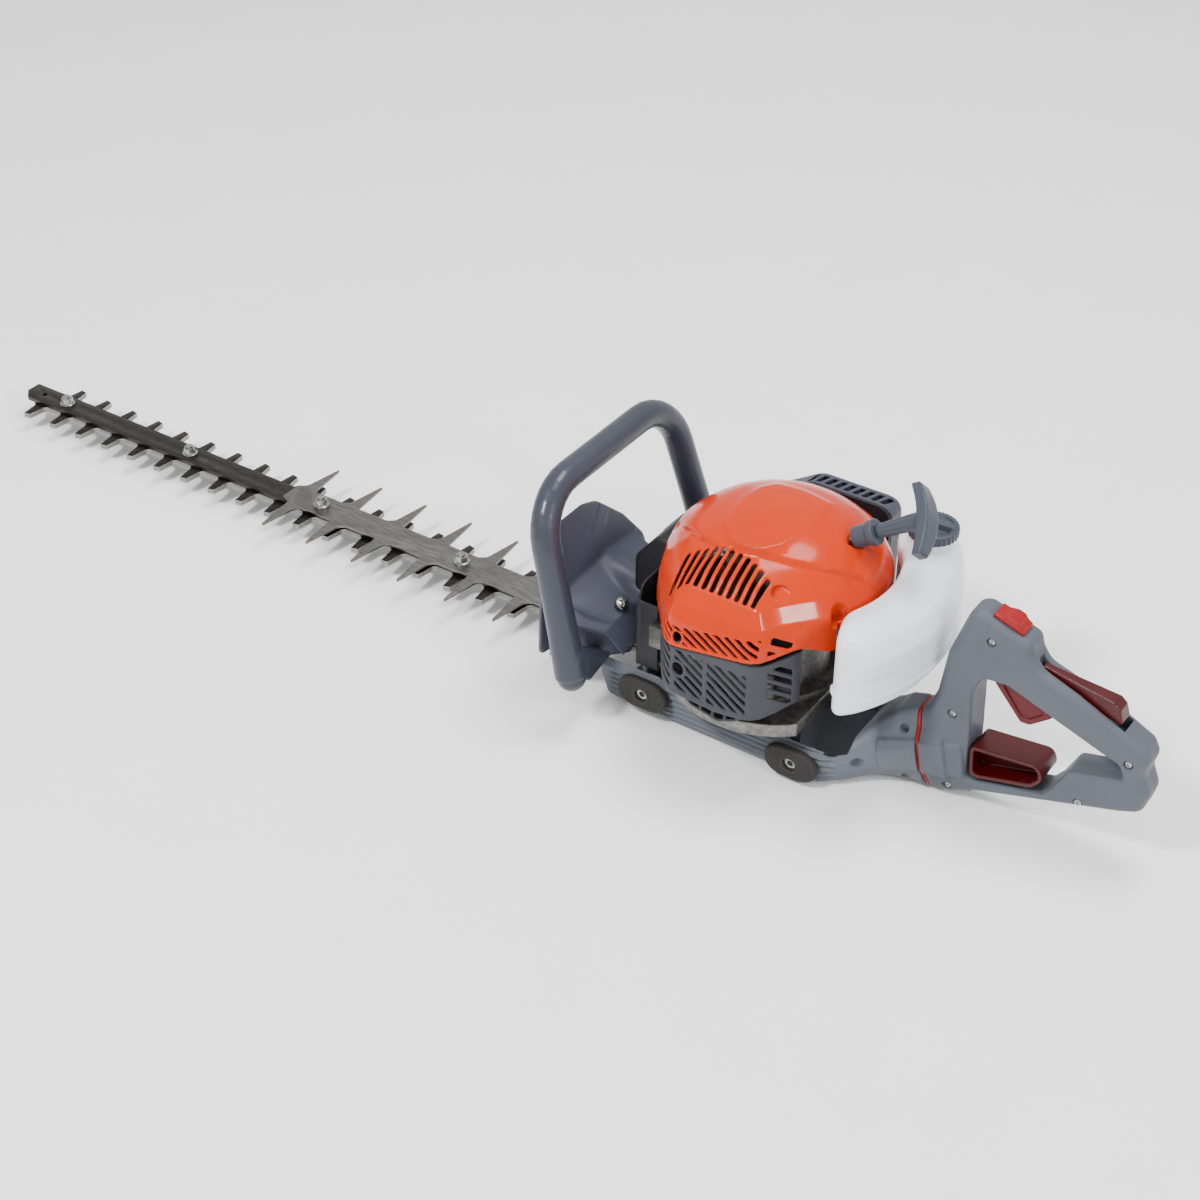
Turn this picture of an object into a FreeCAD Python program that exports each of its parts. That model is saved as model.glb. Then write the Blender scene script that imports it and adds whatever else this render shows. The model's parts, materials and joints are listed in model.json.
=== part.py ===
"""Petrol hedge trimmer, double-sided blade, with a rear handle that turns about its own axis.

Frame: millimetres. The origin is where the crankshaft's axis meets the surface that the
trimmer rests on. +Z is up, -X is towards the blade tip, +X towards the rear handle, and -Y is
the operator's left, the side of the muffler.
"""

import FreeCAD
import Part
import math
import os

# ---------------------------------------------------------------- driving dimensions
# Cutter
TIP_X = -866.0  # front end of the guide bar
BAR_REAR_X = -76.0  # rear end of the guide bar, inside the gear case
BAR_HALF = 12.0  # half the guide bar's width
BAR_Z = (21.0, 25.0)  # underside and top of the guide bar
COMB_THICK = 2.0  # sheet of the blunt tooth guard
BLADE_THICK = 2.5
UPPER_Z = 18.35  # underside of the upper blade
LOWER_Z = 15.7  # underside of the lower blade
BLADE_FRONT_X = -850.0
BLADE_HALF = 11.0
TOOTH_PITCH = 35.0
TOOTH_REACH = 32.0  # from the centre line to a cutting tooth's tip
FAR_TOOTH_X = -822.6  # first tooth on the +Y edge
NEAR_TOOTH_X = -838.8  # first tooth on the -Y edge
TEETH = 18
STROKE_HALF = 8.75  # each blade moves this far either way
BOLT_X = (-813.0, -648.0, -483.0, -320.0, -155.0)
BOLT_R = 3.4
COMB_PITCH = 52.5
COMB_TOOTH_X = -508.0
COMB_TEETH = 7
COMB_REACH = 54.8
COMB_X = (-523.0, -122.0)
LANYARD_X = -845.0  # small hole at the bar's tip
LANYARD_R = 2.5

# Gear train: 12 teeth drive 48
GEAR_X = -45.0
GEAR_MODULE = 1.5
PINION_TEETH = 12
GEAR_TEETH = 48
GEAR_Z = (27.5, 35.0)
ECCENTRIC_R = 12.0

# Engine: 32 mm bore, 28 mm stroke, cylinder pointing forward
CRANK_THROW = 14.0
BORE_R = 16.0
CYL_Z = 88.0  # height of the cylinder's axis
DECK_Z = 58.0  # underside of the crankcase
PULLEY_R = 34.0
PULLEY_Z = (177.0, 190.0)
PULL_FROM = (60.0, 11.5, 193.0)  # inner end of the rope's guide
PULL = (0.845, 0.142, 0.516)  # direction in which the starter handle is pulled
ROPE_R = 1.8

# Casings
WALL = 2.5
RAIL_Y = 60.0  # outer face of the base frame
RAIL_FRONT_X = -128.0
SEAM_Z = 128.0  # joint between the engine cover and the muffler guard
TANK_R = 146.0
TANK_INNER_R = 97.0
CAP_AT = (98.0, 70.0)  # centre of the filler

# Rear handle
SWIVEL_AT = (146.0, 0.0, 40.0)  # centre of the joint between the frame and the rear handle
SWIVEL_TILT = 11.5  # the swivel's axis rises to the rear by this many degrees
SPIGOT_R = 14.0
HANDLE_HALF = 15.0

SWITCH_AT = (187.0, 0.0, 182.9)  # front end of the stop switch
SWITCH_SLOPE = 18.0  # degrees that the handle's top falls to the rear

# Front handle
BAIL_R = 12.0
BAIL_TOP = (-166.6, 93.5, 202.0)
BAIL_BEND_R = 46.0
BAIL_FOOT_Z = 54.0
BAIL_LEAN = 0.274  # rearward shift of a leg for each unit that it drops
BAIL_SPLAY = 0.095

FIT = 0.3  # gap between pieces that move on each other
parts = {}


# ---------------------------------------------------------------- small tools
def at(x, y, z):
    return FreeCAD.Vector(x, y, z)


def box(x0, x1, y0, y1, z0, z1):
    return Part.makeBox(x1 - x0, y1 - y0, z1 - z0, at(x0, y0, z0))


def rod(radius, start, end):
    """A solid cylinder from one point to another."""
    axis = at(*end) - at(*start)
    return Part.makeCylinder(radius, axis.Length, at(*start), axis)


def tube(outer, inner, start, end):
    return rod(outer, start, end).cut(rod(inner, start, end))


def join(shapes):
    whole = shapes[0].fuse(shapes[1:]) if len(shapes) > 1 else shapes[0]
    return whole.removeSplitter()


def group(shapes):
    """Separate solids that share one node."""
    return Part.makeCompound(shapes)


def place(u, v, plane, level):
    """A point of a flat outline in the plane XY, XZ or YZ, at the given height off it."""
    if plane == "xy":
        return at(u, v, level)
    if plane == "xz":
        return at(u, level, v)
    return at(level, u, v)


def outline(corners, plane, level):
    """A closed wire through corners (u, v, radius), each rounded to its radius."""
    edges = []
    ends = []
    count = len(corners)
    for i in range(count):
        u, v, radius = corners[i]
        here = at(u, v, 0)
        before = at(corners[i - 1][0], corners[i - 1][1], 0) - here
        after = at(corners[(i + 1) % count][0], corners[(i + 1) % count][1], 0) - here
        half = before.getAngle(after) / 2
        if radius <= 0 or half > math.radians(89.5):
            ends.append((here, here, here))
            continue
        reach = min(radius / math.tan(half), before.Length * 0.48, after.Length * 0.48)
        radius = reach * math.tan(half)
        before.normalize()
        after.normalize()
        inward = before + after
        inward.normalize()
        middle = here + inward * (radius / math.sin(half) - radius)
        ends.append((here + before * reach, middle, here + after * reach))
    for i in range(count):
        start, middle, end = [place(p.x, p.y, plane, level) for p in ends[i]]
        if (end - start).Length > 1e-6:
            edges.append(Part.Arc(start, middle, end).toShape())
        following = place(ends[(i + 1) % count][0].x, ends[(i + 1) % count][0].y, plane, level)
        if (following - end).Length > 1e-6:
            edges.append(Part.LineSegment(end, following).toShape())
    return Part.Wire(edges)


def slab(corners, plane, low, high):
    """The outline filled and given a thickness from low to high."""
    face = Part.Face(outline(corners, plane, low))
    push = place(0, 0, plane, high) - place(0, 0, plane, low)
    return face.extrude(push)


def turned(profile, start_angle=0.0, sweep=360.0):
    """A profile of (radius, height) corners turned about the Z axis."""
    points = [at(r, 0, z) for r, z in profile]
    face = Part.Face(Part.makePolygon(points + [points[0]]))
    solid = face.revolve(at(0, 0, 0), at(0, 0, 1), sweep)
    solid.rotate(at(0, 0, 0), at(0, 0, 1), start_angle)
    return solid


def skin_between(wires):
    return Part.makeLoft(wires, True, True)


def hexagon(across, start, end):
    """A hexagonal prism on the Z axis direction."""
    corner = across / math.sqrt(3)
    points = []
    for i in range(7):
        turn = math.radians(60 * i)
        points.append(at(start[0] + corner * math.cos(turn), start[1] + corner * math.sin(turn), start[2]))
    face = Part.Face(Part.makePolygon(points))
    return face.extrude(at(0, 0, end - start[2]))


def mirrored(shape):
    """The same shape on the other side of the XZ plane."""
    return shape.mirror(at(0, 0, 0), at(0, 1, 0))


def on_swivel(shape):
    """Puts a shape drawn about the X axis at the origin onto the swivel's tilted axis."""
    shape.rotate(at(0, 0, 0), at(0, 1, 0), -SWIVEL_TILT)
    shape.translate(at(*SWIVEL_AT))
    return shape


def relieve(name, *others):
    """Cuts a piece away where its neighbours sit, so that they only touch."""
    for other in others:
        parts[name] = parts[name].cut(parts[other])


# ---------------------------------------------------------------- cutter
def guide_bar():
    bar = slab(
        [
            (TIP_X + 9, -BAR_HALF, 0),
            (BAR_REAR_X, -BAR_HALF, 2),
            (BAR_REAR_X, BAR_HALF, 2),
            (TIP_X, BAR_HALF, 1),
            (TIP_X, -BAR_HALF + 9, 0),
        ],
        "xy",
        *BAR_Z,
    )
    holes = [rod(BOLT_R, (x, 0, 0), (x, 0, 40)) for x in BOLT_X]
    holes.append(rod(LANYARD_R, (LANYARD_X, 0, 0), (LANYARD_X, 0, 40)))
    return bar.cut(group(holes))


def cutting_tooth(tip_x, side, low):
    """One tooth: a tapered claw, cut off at its tip."""
    corners = [
        (tip_x - 9.5, side * (BLADE_HALF - 2), 0),
        (tip_x - 9.5, side * BLADE_HALF, 0),
        (tip_x - 5.6, side * (BLADE_HALF + 3.5), 3),
        (tip_x - 3.4, side * TOOTH_REACH, 0),
        (tip_x + 3.4, side * (TOOTH_REACH - 1.2), 0),
        (tip_x + 5.6, side * (BLADE_HALF + 3.5), 3),
        (tip_x + 9.5, side * BLADE_HALF, 0),
        (tip_x + 9.5, side * (BLADE_HALF - 2), 0),
    ]
    return slab(corners, "xy", low, low + BLADE_THICK)


def blade(low):
    """A toothed strip with a slot at each bolt and a wide yoke window at its driven end."""
    yoke_half = 30.0
    window = ECCENTRIC_R + STROKE_HALF * 2 + 1.0
    strip = box(BLADE_FRONT_X, GEAR_X - 20, -BLADE_HALF, BLADE_HALF, low, low + BLADE_THICK)
    yoke = slab(
        [
            (GEAR_X - window - 8, -BLADE_HALF, 0),
            (GEAR_X - window - 5, -yoke_half - 4, 4),
            (GEAR_X + window + 4, -yoke_half - 4, 4),
            (GEAR_X + window + 4, yoke_half + 4, 4),
            (GEAR_X - window - 5, yoke_half + 4, 4),
            (GEAR_X - window - 8, BLADE_HALF, 0),
        ],
        "xy",
        low,
        low + BLADE_THICK,
    )
    teeth = []
    for i in range(TEETH):
        teeth.append(cutting_tooth(FAR_TOOTH_X + TOOTH_PITCH * i, 1, low))
        teeth.append(cutting_tooth(NEAR_TOOTH_X + TOOTH_PITCH * i, -1, low))
    whole = join([strip, yoke] + teeth)
    half_slot = STROKE_HALF + 0.5
    slot_half_width = BOLT_R + FIT
    openings = []
    for x in BOLT_X:
        slot = box(x - half_slot, x + half_slot, -slot_half_width, slot_half_width, low - 1, low + 4)
        openings.append(slot)
        for end in (-half_slot, half_slot):
            openings.append(rod(slot_half_width, (x + end, 0, low - 1), (x + end, 0, low + 4)))
    openings.append(
        box(GEAR_X - window, GEAR_X + window, -window, window, low - 1, low + BLADE_THICK + 1)
    )
    return whole.cut(join(openings))


def comb_tooth(tip_x, side):
    """A long blunt-pointed tooth whose flared root is towards the rear on the -Y edge."""
    lean = -side
    corners = [
        (tip_x - lean * 6, side * 9, 0),
        (tip_x - lean * 5, side * 13.5, 1.5),
        (tip_x - 0.9, side * COMB_REACH, 0.8),
        (tip_x + 0.9, side * COMB_REACH, 0.8),
        (tip_x + lean * 7.5, side * 18, 8),
        (tip_x + lean * 15, side * 13.5, 8),
        (tip_x + lean * 17, side * 9, 0),
    ]
    if side > 0:
        corners[2], corners[3] = corners[3], corners[2]
    return slab(corners, "xy", BAR_Z[1], BAR_Z[1] + COMB_THICK)


def tooth_guard():
    """A pressed comb on top of the bar with long teeth that keep fingers off the blades."""
    low = BAR_Z[1]
    spine = slab(
        [
            (COMB_X[0], -9, 3),
            (COMB_X[0] + 14, -14, 6),
            (COMB_X[1], -14, 1),
            (COMB_X[1], 14, 1),
            (COMB_X[0] + 14, 14, 6),
            (COMB_X[0], 9, 3),
        ],
        "xy",
        low,
        low + COMB_THICK,
    )
    teeth = []
    for i in range(COMB_TEETH):
        for side in (-1, 1):
            teeth.append(comb_tooth(COMB_TOOTH_X + COMB_PITCH * i, side))
    whole = join([spine] + teeth)
    holes = [rod(BOLT_R, (x, 0, 0), (x, 0, 40)) for x in BOLT_X[2:]]
    return whole.cut(group(holes))


def bolt_seat_z(x):
    """Height that a nut clamps at: the tooth guard where there is one, else the bar."""
    return BAR_Z[1] + (COMB_THICK if x > COMB_X[0] else 0.0)


def blade_bolts():
    bolts = []
    for x in BOLT_X:
        head = rod(7.2, (x, 0, LOWER_Z - 4.2), (x, 0, LOWER_Z - 0.2))
        socket = hexagon(4.0, (x, 0, LOWER_Z - 4.2), LOWER_Z - 2.0)
        shank = rod(BOLT_R, (x, 0, LOWER_Z - 0.2), (x, 0, bolt_seat_z(x) + 9))
        bolts.append(join([head.cut(socket), shank]))
    return group(bolts)


def blade_nuts():
    """Flanged nuts, one on top of each bolt."""
    nuts = []
    for x in BOLT_X:
        seat = bolt_seat_z(x)
        flange = rod(7.4, (x, 0, seat), (x, 0, seat + 1.4))
        body = hexagon(10.0, (x, 0, seat + 1.4), seat + 7.0)
        nuts.append(join([flange, body]).cut(rod(BOLT_R, (x, 0, seat - 1), (x, 0, seat + 9))))
    return group(nuts)


# ---------------------------------------------------------------- gearbox
def gear(teeth, low, high, x, turn):
    """A spur gear with straight-flanked teeth and backlash."""
    pitch_r = GEAR_MODULE * teeth / 2
    root_r = pitch_r - 1.35 * GEAR_MODULE
    tip_r = pitch_r + 0.85 * GEAR_MODULE
    root_half = 0.62 * math.pi * GEAR_MODULE / 2
    tip_half = 0.24 * math.pi * GEAR_MODULE / 2
    corners = []
    for i in range(teeth):
        middle = math.radians(turn + 360.0 * i / teeth)
        flanks = ((root_r, -root_half), (tip_r, -tip_half), (tip_r, tip_half), (root_r, root_half))
        for radius, offset in flanks:
            angle = middle + offset / radius
            corners.append(at(x + radius * math.cos(angle), radius * math.sin(angle), low))
    face = Part.Face(Part.makePolygon(corners + [corners[0]]))
    return face.extrude(at(0, 0, high - low))


def drive_gear():
    """The large gear, with one eccentric below it for each blade, set opposite each other."""
    wheel = gear(GEAR_TEETH, GEAR_Z[0], GEAR_Z[1], GEAR_X, 360.0 / GEAR_TEETH / 2)
    hub = rod(9.0, (GEAR_X, 0, GEAR_Z[0] - 6), (GEAR_X, 0, GEAR_Z[0]))
    upper = rod(ECCENTRIC_R, (GEAR_X, STROKE_HALF, UPPER_Z), (GEAR_X, STROKE_HALF, GEAR_Z[0] - 6))
    lower = rod(ECCENTRIC_R, (GEAR_X, -STROKE_HALF, LOWER_Z), (GEAR_X, -STROKE_HALF, UPPER_Z))
    whole = join([wheel, hub, upper, lower])
    return whole.cut(rod(4.0 + FIT, (GEAR_X, 0, 0), (GEAR_X, 0, 60)))


def gear_pin():
    """The fixed pin that the drive gear turns on."""
    return rod(4.0, (GEAR_X, 0, 9.0), (GEAR_X, 0, 41.0))


def pinion_drum():
    """Clutch drum with the pinion cut on its shaft."""
    pinion = gear(PINION_TEETH, GEAR_Z[0] - 0.5, GEAR_Z[1] + 0.5, 0, 0)
    shaft = rod(6.0, (0, 0, GEAR_Z[1] + 0.5), (0, 0, 47.5))
    cup = rod(33.0, (0, 0, 46.0), (0, 0, 57.0)).cut(rod(30.5, (0, 0, 48.0), (0, 0, 58.0)))
    return join([pinion, shaft, cup])


def case_outline(grow):
    return [
        (-100 - grow, -40 - grow, 14),
        (GEAR_X + 30, -42 - grow, 20),
        (26 + grow, -24 - grow, 16),
        (26 + grow, 24 + grow, 16),
        (GEAR_X + 30, 42 + grow, 20),
        (-100 - grow, 40 + grow, 14),
    ]


def gear_case_lower():
    """Cast tray under the blades' driven ends, open at the front where the blades leave."""
    tray = slab(case_outline(4), "xy", 8.0, 25.8)
    tray = tray.cut(slab(case_outline(0), "xy", 12.0, 26.0))
    mouth = box(-130, -90, -13.0, 13.0, 14.0, 30.0)
    return tray.cut(mouth).cut(rod(4.0, (GEAR_X, 0, 0), (GEAR_X, 0, 20)))


def gear_case_upper():
    """Cast cover over the gears, which carries the clutch drum's bearing."""
    lid = slab(case_outline(4), "xy", 25.8, 45.0)
    lid = lid.cut(slab(case_outline(0), "xy", 25.0, 37.5))
    mouth = box(-130, -90, -14.5, 14.5, 20.0, 27.2)
    bearing = rod(11.0, (0, 0, 36.0), (0, 0, 46.0))
    return lid.cut(mouth).cut(bearing).cut(rod(4.0, (GEAR_X, 0, 20), (GEAR_X, 0, 41)))


CASE_SCREWS = ((-95.0, -38.0), (-95.0, 38.0), (22.0, -22.0), (22.0, 22.0))


# ---------------------------------------------------------------- engine
def clutch_shoes():
    """Two centrifugal shoes that sit inside the drum and turn with the crankshaft."""
    ring = tube(29.5, 15.0, (0, 0, 49.0), (0, 0, 56.0))
    halves = ring.cut(box(-3, 3, -40, 40, 40, 60))
    return group(halves.Solids)


def crankshaft():
    """Built-up shaft: clutch hub, two webs with a pin between them, and the flywheel's taper."""
    hub = rod(14.8, (0, 0, 49.5), (0, 0, 55.5))
    lower = rod(7.5, (0, 0, 49.0), (0, 0, 76.0))
    lower_web = rod(30.0, (0, 0, 76.0), (0, 0, 83.5))
    upper_web = rod(30.0, (0, 0, 92.5), (0, 0, 100.0))
    upper = rod(7.5, (0, 0, 100.0), (0, 0, 158.0))
    crankpin = rod(5.0, (CRANK_THROW, 0, 83.5), (CRANK_THROW, 0, 92.5))
    return join([hub, lower, lower_web, upper_web, upper, crankpin])


def ball_bearings():
    """Two bearings for the crankshaft and one for the clutch drum."""
    lower = tube(16.0, 7.55, (0, 0, 62.0), (0, 0, 73.0))
    upper = tube(16.0, 7.55, (0, 0, 103.0), (0, 0, 112.0))
    drum = tube(11.0, 6.05, (0, 0, 37.5), (0, 0, 44.5))
    return group([lower, upper, drum])


def engine_base():
    """Round cast plate under the engine: the clutch turns in its middle."""
    disc = rod(88.0, (0, 0, 45.5), (0, 0, DECK_Z))
    disc = disc.cut(rod(35.0, (0, 0, 45.0), (0, 0, DECK_Z + 1)))
    corner = box(60, 100, -100, 100, 40, 70)
    return disc.cut(corner)


def crankcase():
    """Two-stroke crankcase with bearing seats and a flange for the cylinder."""
    body = rod(46.0, (0, 0, DECK_Z), (0, 0, 116.0))
    foot = rod(60.0, (0, 0, DECK_Z), (0, 0, DECK_Z + 5))
    snout = box(-52, 0, -30, 30, 66, 110)
    room = rod(31.0, (0, 0, 74.5), (0, 0, 101.5))
    seats = rod(16.0, (0, 0, 62.0), (0, 0, 73.0)).fuse(rod(16.0, (0, 0, 103.0), (0, 0, 112.0)))
    shaft_way = rod(9.0, (0, 0, 50), (0, 0, 120))
    bore_way = rod(BORE_R + 0.2, (-60, 0, CYL_Z), (0, 0, CYL_Z))
    rod_way = box(-40, 0, -BORE_R, BORE_R, CYL_Z - 6, CYL_Z + 6)
    whole = join([body, foot, snout])
    return whole.cut(join([room, seats, shaft_way, bore_way, rod_way]))


def cylinder():
    """Finned barrel and head in one casting, with the plug's thread in the head."""
    barrel = rod(21.0, (-98, 0, CYL_Z), (-52, 0, CYL_Z))
    fins = []
    for i in range(8):
        x = -97.0 + 5.6 * i
        fins.append(slab(
            [(-32, CYL_Z - 24, 8), (32, CYL_Z - 24, 8), (32, CYL_Z + 30, 8), (-32, CYL_Z + 30, 8)],
            "yz", x, x + 2.2))
    exhaust = box(-74, -56, -45, -18, CYL_Z - 12, CYL_Z + 12)
    intake = box(-74, -56, 18, 40, CYL_Z - 12, CYL_Z + 12)
    whole = join([barrel, exhaust, intake] + fins)
    bore = rod(BORE_R + 0.2, (-91, 0, CYL_Z), (-40, 0, CYL_Z))
    ports = rod(7.0, (-65, -50, CYL_Z), (-65, 50, CYL_Z))
    thread = rod(5.0, (-110, 0, CYL_Z), (-80, 0, CYL_Z))
    return whole.cut(join([bore, ports, thread]))


def piston():
    """Piston at mid stroke, with its skirt open to the crankcase."""
    crown = rod(BORE_R, (-76, 0, CYL_Z), (-52, 0, CYL_Z))
    hollow = rod(BORE_R - 3, (-70, 0, CYL_Z), (-50, 0, CYL_Z))
    grooves = [tube(BORE_R + 1, BORE_R - 0.8, (x, 0, CYL_Z), (x + 1.2, 0, CYL_Z)) for x in (-74, -71)]
    return crown.cut(hollow).cut(group(grooves))


def connecting_rod():
    """Wrist pin and rod. The big end lies between the webs, a little short of the crankpin."""
    pin = rod(4.0, (-62, -12.2, CYL_Z), (-62, 12.2, CYL_Z))
    small_end = rod(6.5, (-62, 0, CYL_Z - 3), (-62, 0, CYL_Z + 3))
    shank = box(-58, -34.5, -3.5, 3.5, CYL_Z - 2.0, CYL_Z + 2.0)
    return join([pin, small_end, shank])


def flywheel():
    """Cast wheel with cooling blades and, on top, the cup that the starter's dogs catch."""
    disc = rod(48.0, (0, 0, 120.0), (0, 0, 132.0))
    hub = rod(16.0, (0, 0, 118.0), (0, 0, 146.0))
    blades = []
    for i in range(14):
        vane = box(18, 47, -1.3, 1.3, 132.0, 146.0)
        vane.rotate(at(0, 0, 0), at(0, 0, 1), 360.0 * i / 14)
        blades.append(vane)
    cup = rod(24.0, (0, 0, 146.0), (0, 0, 168.0)).cut(rod(22.0, (0, 0, 149.0), (0, 0, 169.0)))
    return join([disc, hub, cup] + blades).cut(rod(7.5, (0, 0, 110), (0, 0, 160)))


def ignition_coil():
    core = box(50.5, 58, -14, 14, 121, 131)
    return join([core, box(58, 68, -9, 9, 118, 134)])


def spark_plug():
    shell = rod(5.0, (-98, 0, CYL_Z), (-91.5, 0, CYL_Z))
    nut = rod(8.0, (-107, 0, CYL_Z), (-99.5, 0, CYL_Z))
    seat = rod(6.5, (-99.5, 0, CYL_Z), (-98, 0, CYL_Z))
    insulator = rod(4.0, (-119, 0, CYL_Z), (-107, 0, CYL_Z))
    return join([shell, seat, nut, insulator])


def plug_cap():
    """Rubber boot over the plug, with the start of its lead."""
    boot = rod(6.0, (-124, 0, CYL_Z), (-107.5, 0, CYL_Z))
    neck = rod(5.0, (-117, 0, CYL_Z), (-117, 0, CYL_Z + 24))
    return join([boot, neck]).cut(rod(4.0, (-119, 0, CYL_Z), (-107, 0, CYL_Z)))


def muffler():
    """Pressed box with an elbow to the cylinder's port and an outlet on its outer face."""
    low, high = 81.0, 121.0
    body = slab([(-28, -97, 12), (38, -97, 12), (50, -66, 10), (-48, -66, 6)], "xy", low, high)
    flange = box(-76, -38, -69.5, -45, low, 101)
    hollow = slab([(-25, -95, 10), (36, -95, 10), (46, -68, 8), (-43, -68, 4)], "xy", low + 2, high - 2)
    outlet = rod(6.0, (10, -110, 92), (10, -90, 92))
    port = rod(6.5, (-65, -62, CYL_Z + 2), (-65, -40, CYL_Z + 2))
    elbow = rod(6.5, (-65, -58, CYL_Z + 2), (-35, -72, CYL_Z + 2))
    return join([body.cut(hollow), flange]).cut(outlet).cut(join([port, elbow]))


def intake_manifold():
    block = box(-76, -54, 40, 50, 76, 100)
    return block.cut(rod(6.5, (-65, 30, CYL_Z), (-65, 60, CYL_Z)))


def carburetor():
    body = box(-80, -46, 50, 84, 72, 104)
    horn = rod(12.0, (-63, 84, CYL_Z), (-63, 93, CYL_Z))
    bowl = box(-76, -50, 54, 76, 66, 72)
    top = box(-74, -56, 56, 72, 104, 110)
    bore = rod(7.5, (-63, 45, CYL_Z), (-63, 95, CYL_Z))
    bulb_seat = tube(10.8, 9.0 + FIT, (-87, 65, 80), (-79, 65, 80))
    return join([body, horn, bowl, top, bulb_seat]).cut(bore)


def primer_bulb():
    """Soft bulb beside the carburettor, pressed to fill it with fuel."""
    dome = Part.makeSphere(9.0, at(-84.5, 65, 80))
    return dome.common(box(-95, -84.5, 50, 80, 60, 100))


FILTER_Y = 93.0  # inner face of the filter box
FILTER_DEEP = 23.0


def filter_outline(grow, low_z=74.0):
    """Side view of the filter box."""
    return [
        (-66 - grow, low_z - grow, 8),
        (50 + grow, low_z - grow, 8),
        (50 + grow, 169 + grow, 14),
        (-24, 169 + grow, 22),
        (-66 - grow, 143, 14),
    ]


def choke_lever():
    """Lever below the filter cover, which swings on a short spindle."""
    y = FILTER_Y + FILTER_DEEP
    spindle = rod(3.0, (-50, y - 8, 88), (-50, y + 1.0, 88))
    arm = slab([(-54, 84, 3), (-46, 84, 3), (-46, 104, 3), (-50, 109, 3), (-54, 104, 2)], "xz", y + 1, y + 4)
    return join([spindle, arm])


def air_filter():
    """Foam block."""
    return slab([(-58, 84, 8), (42, 84, 8), (42, 160, 8), (-20, 160, 14), (-58, 136, 10)], "xz",
                FILTER_Y + 3.5, FILTER_Y + 14)


def filter_plate():
    """Back plate of the filter box."""
    plate = slab(filter_outline(-0.5), "xz", FILTER_Y, FILTER_Y + 3)
    return plate.cut(rod(7.5, (-63, 70, CYL_Z), (-63, 99, CYL_Z)))


def air_filter_cover():
    """Grey cover over the air filter, open towards the back plate, with slots in its top."""
    y = FILTER_Y + FILTER_DEEP
    shell = slab(filter_outline(0), "xz", FILTER_Y + 3, y)
    inner = slab(filter_outline(-WALL), "xz", FILTER_Y, y - WALL)
    slots = [box(-20 + 9 * i, -16 + 9 * i, FILTER_Y + 7, y - 5, 160, 176) for i in range(6)]
    shell = shell.cut(inner).cut(group(slots))
    knob_hole = rod(5.0, (24, y - 8, 140), (24, y + 8, 140))
    choke_hole = rod(3.0 + FIT, (-50, y - 9, 88), (-50, y + 8, 88))
    return shell.cut(knob_hole).cut(choke_hole)


def filter_knob():
    """Screw knob that holds the filter cover."""
    y = FILTER_Y + FILTER_DEEP
    stem = rod(4.5, (24, y - 6, 140), (24, y + 0.3, 140))
    grip = rod(11.0, (24, y + 0.3, 140), (24, y + 8.0, 140))
    return join([stem, grip])


# ---------------------------------------------------------------- engine cover and guard
def shroud_outline(inset, cover_rear):
    """Plan of the engine cover: bowed out on the muffler's side, round at the rear."""
    return [
        (-38 + inset * 0.6, -108 + inset, 24),
        (44 - inset * 0.6, -108 + inset, 20),
        (cover_rear - inset, -50 + inset * 0.5, 22),
        (cover_rear - inset, 40, 30),
        (56 - inset, 78 - inset, 30),
        (-50 + inset, 78 - inset, 30),
        (-78 + inset, 36 - inset * 0.3, 24),
        (-80 + inset, -52 + inset * 0.5, 24),
    ]


def cover_form(inset):
    """Outer form of the cover, or with an inset the room inside it."""
    levels = ((SEAM_Z, 0.0), (146.0, 1.0), (166.0, 10.0), (180.0, 24.0), (190.0, 42.0))
    wires = []
    for height, draw in levels:
        wires.append(outline(shroud_outline(draw + inset, 74.0), "xy", height - inset))
    shroud = skin_between(wires)
    dome = turned([
        (0, SEAM_Z - inset), (91 - inset, SEAM_Z - inset), (91 - inset, 158 - inset * 0.3),
        (80 - inset, 173 - inset * 0.5), (68 - inset, 186 - inset * 0.8), (52 - inset * 0.7, 199 - inset),
        (30, 205 - inset), (0, 207 - inset),
    ])
    return shroud.fuse(dome)


def engine_cover():
    """Glossy moulded cover over the engine and starter, vented over the cylinder and muffler."""
    shell = cover_form(0).cut(cover_form(WALL))
    shell = shell.cut(box(-200, 200, -200, 200, SEAM_Z - 5, SEAM_Z))
    vents = []
    for i in range(11):
        x = -50.0 + 8.0 * i
        vents.append(box(x, x + 4.0, -104, -60, 150, 200))
    keep = slab([(-56, 154, 4), (44, 154, 4), (36, 176, 4), (-44, 176, 4)], "xz", -120, -40)
    rope_way = rod(ROPE_R + FIT, along_pull(-20), along_pull(10))
    return shell.cut(group(vents).common(keep)).cut(rope_way)


def muffler_guard():
    """Grey slotted guard round the muffler, below the cover, with a short ribbed skirt."""
    low = 78.0
    outside = [(-38, -108, 24), (44, -108, 20), (70, -50, 12), (-80, -50, 12)]
    inside = [(-36.5, -105, 22), (42.5, -105, 18), (70, -44, 0), (-82, -44, 0)]
    outer = slab(outside, "xy", low, SEAM_Z)
    inner = slab(inside, "xy", low - 8, SEAM_Z + 1)
    shell = outer.cut(inner).cut(box(-90, -50, -70, -30, low - 8, SEAM_Z + 8))
    slots = []
    for i in range(9):
        bar = box(-44 + 10 * i, -40 + 10 * i, -120, -100, 84, 122)
        bar.rotate(at(-42 + 10 * i, 0, 103), at(0, 1, 0), -32)
        slots.append(bar)
    keep = slab([(-30, 86, 3), (36, 86, 3), (36, 122, 3), (-30, 122, 3)], "xz", -120, -95)
    shell = shell.cut(group(slots).common(keep))
    bars = [box(-34, 33.5, -88, -84, 60, 63), box(-34, 33.5, -107, -84, low - 2, low)]
    for i in range(6):
        x = -34 + 13 * i
        bars.append(box(x, x + 2.5, -88, -84, 60, low))
    return join([shell] + bars)


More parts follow.
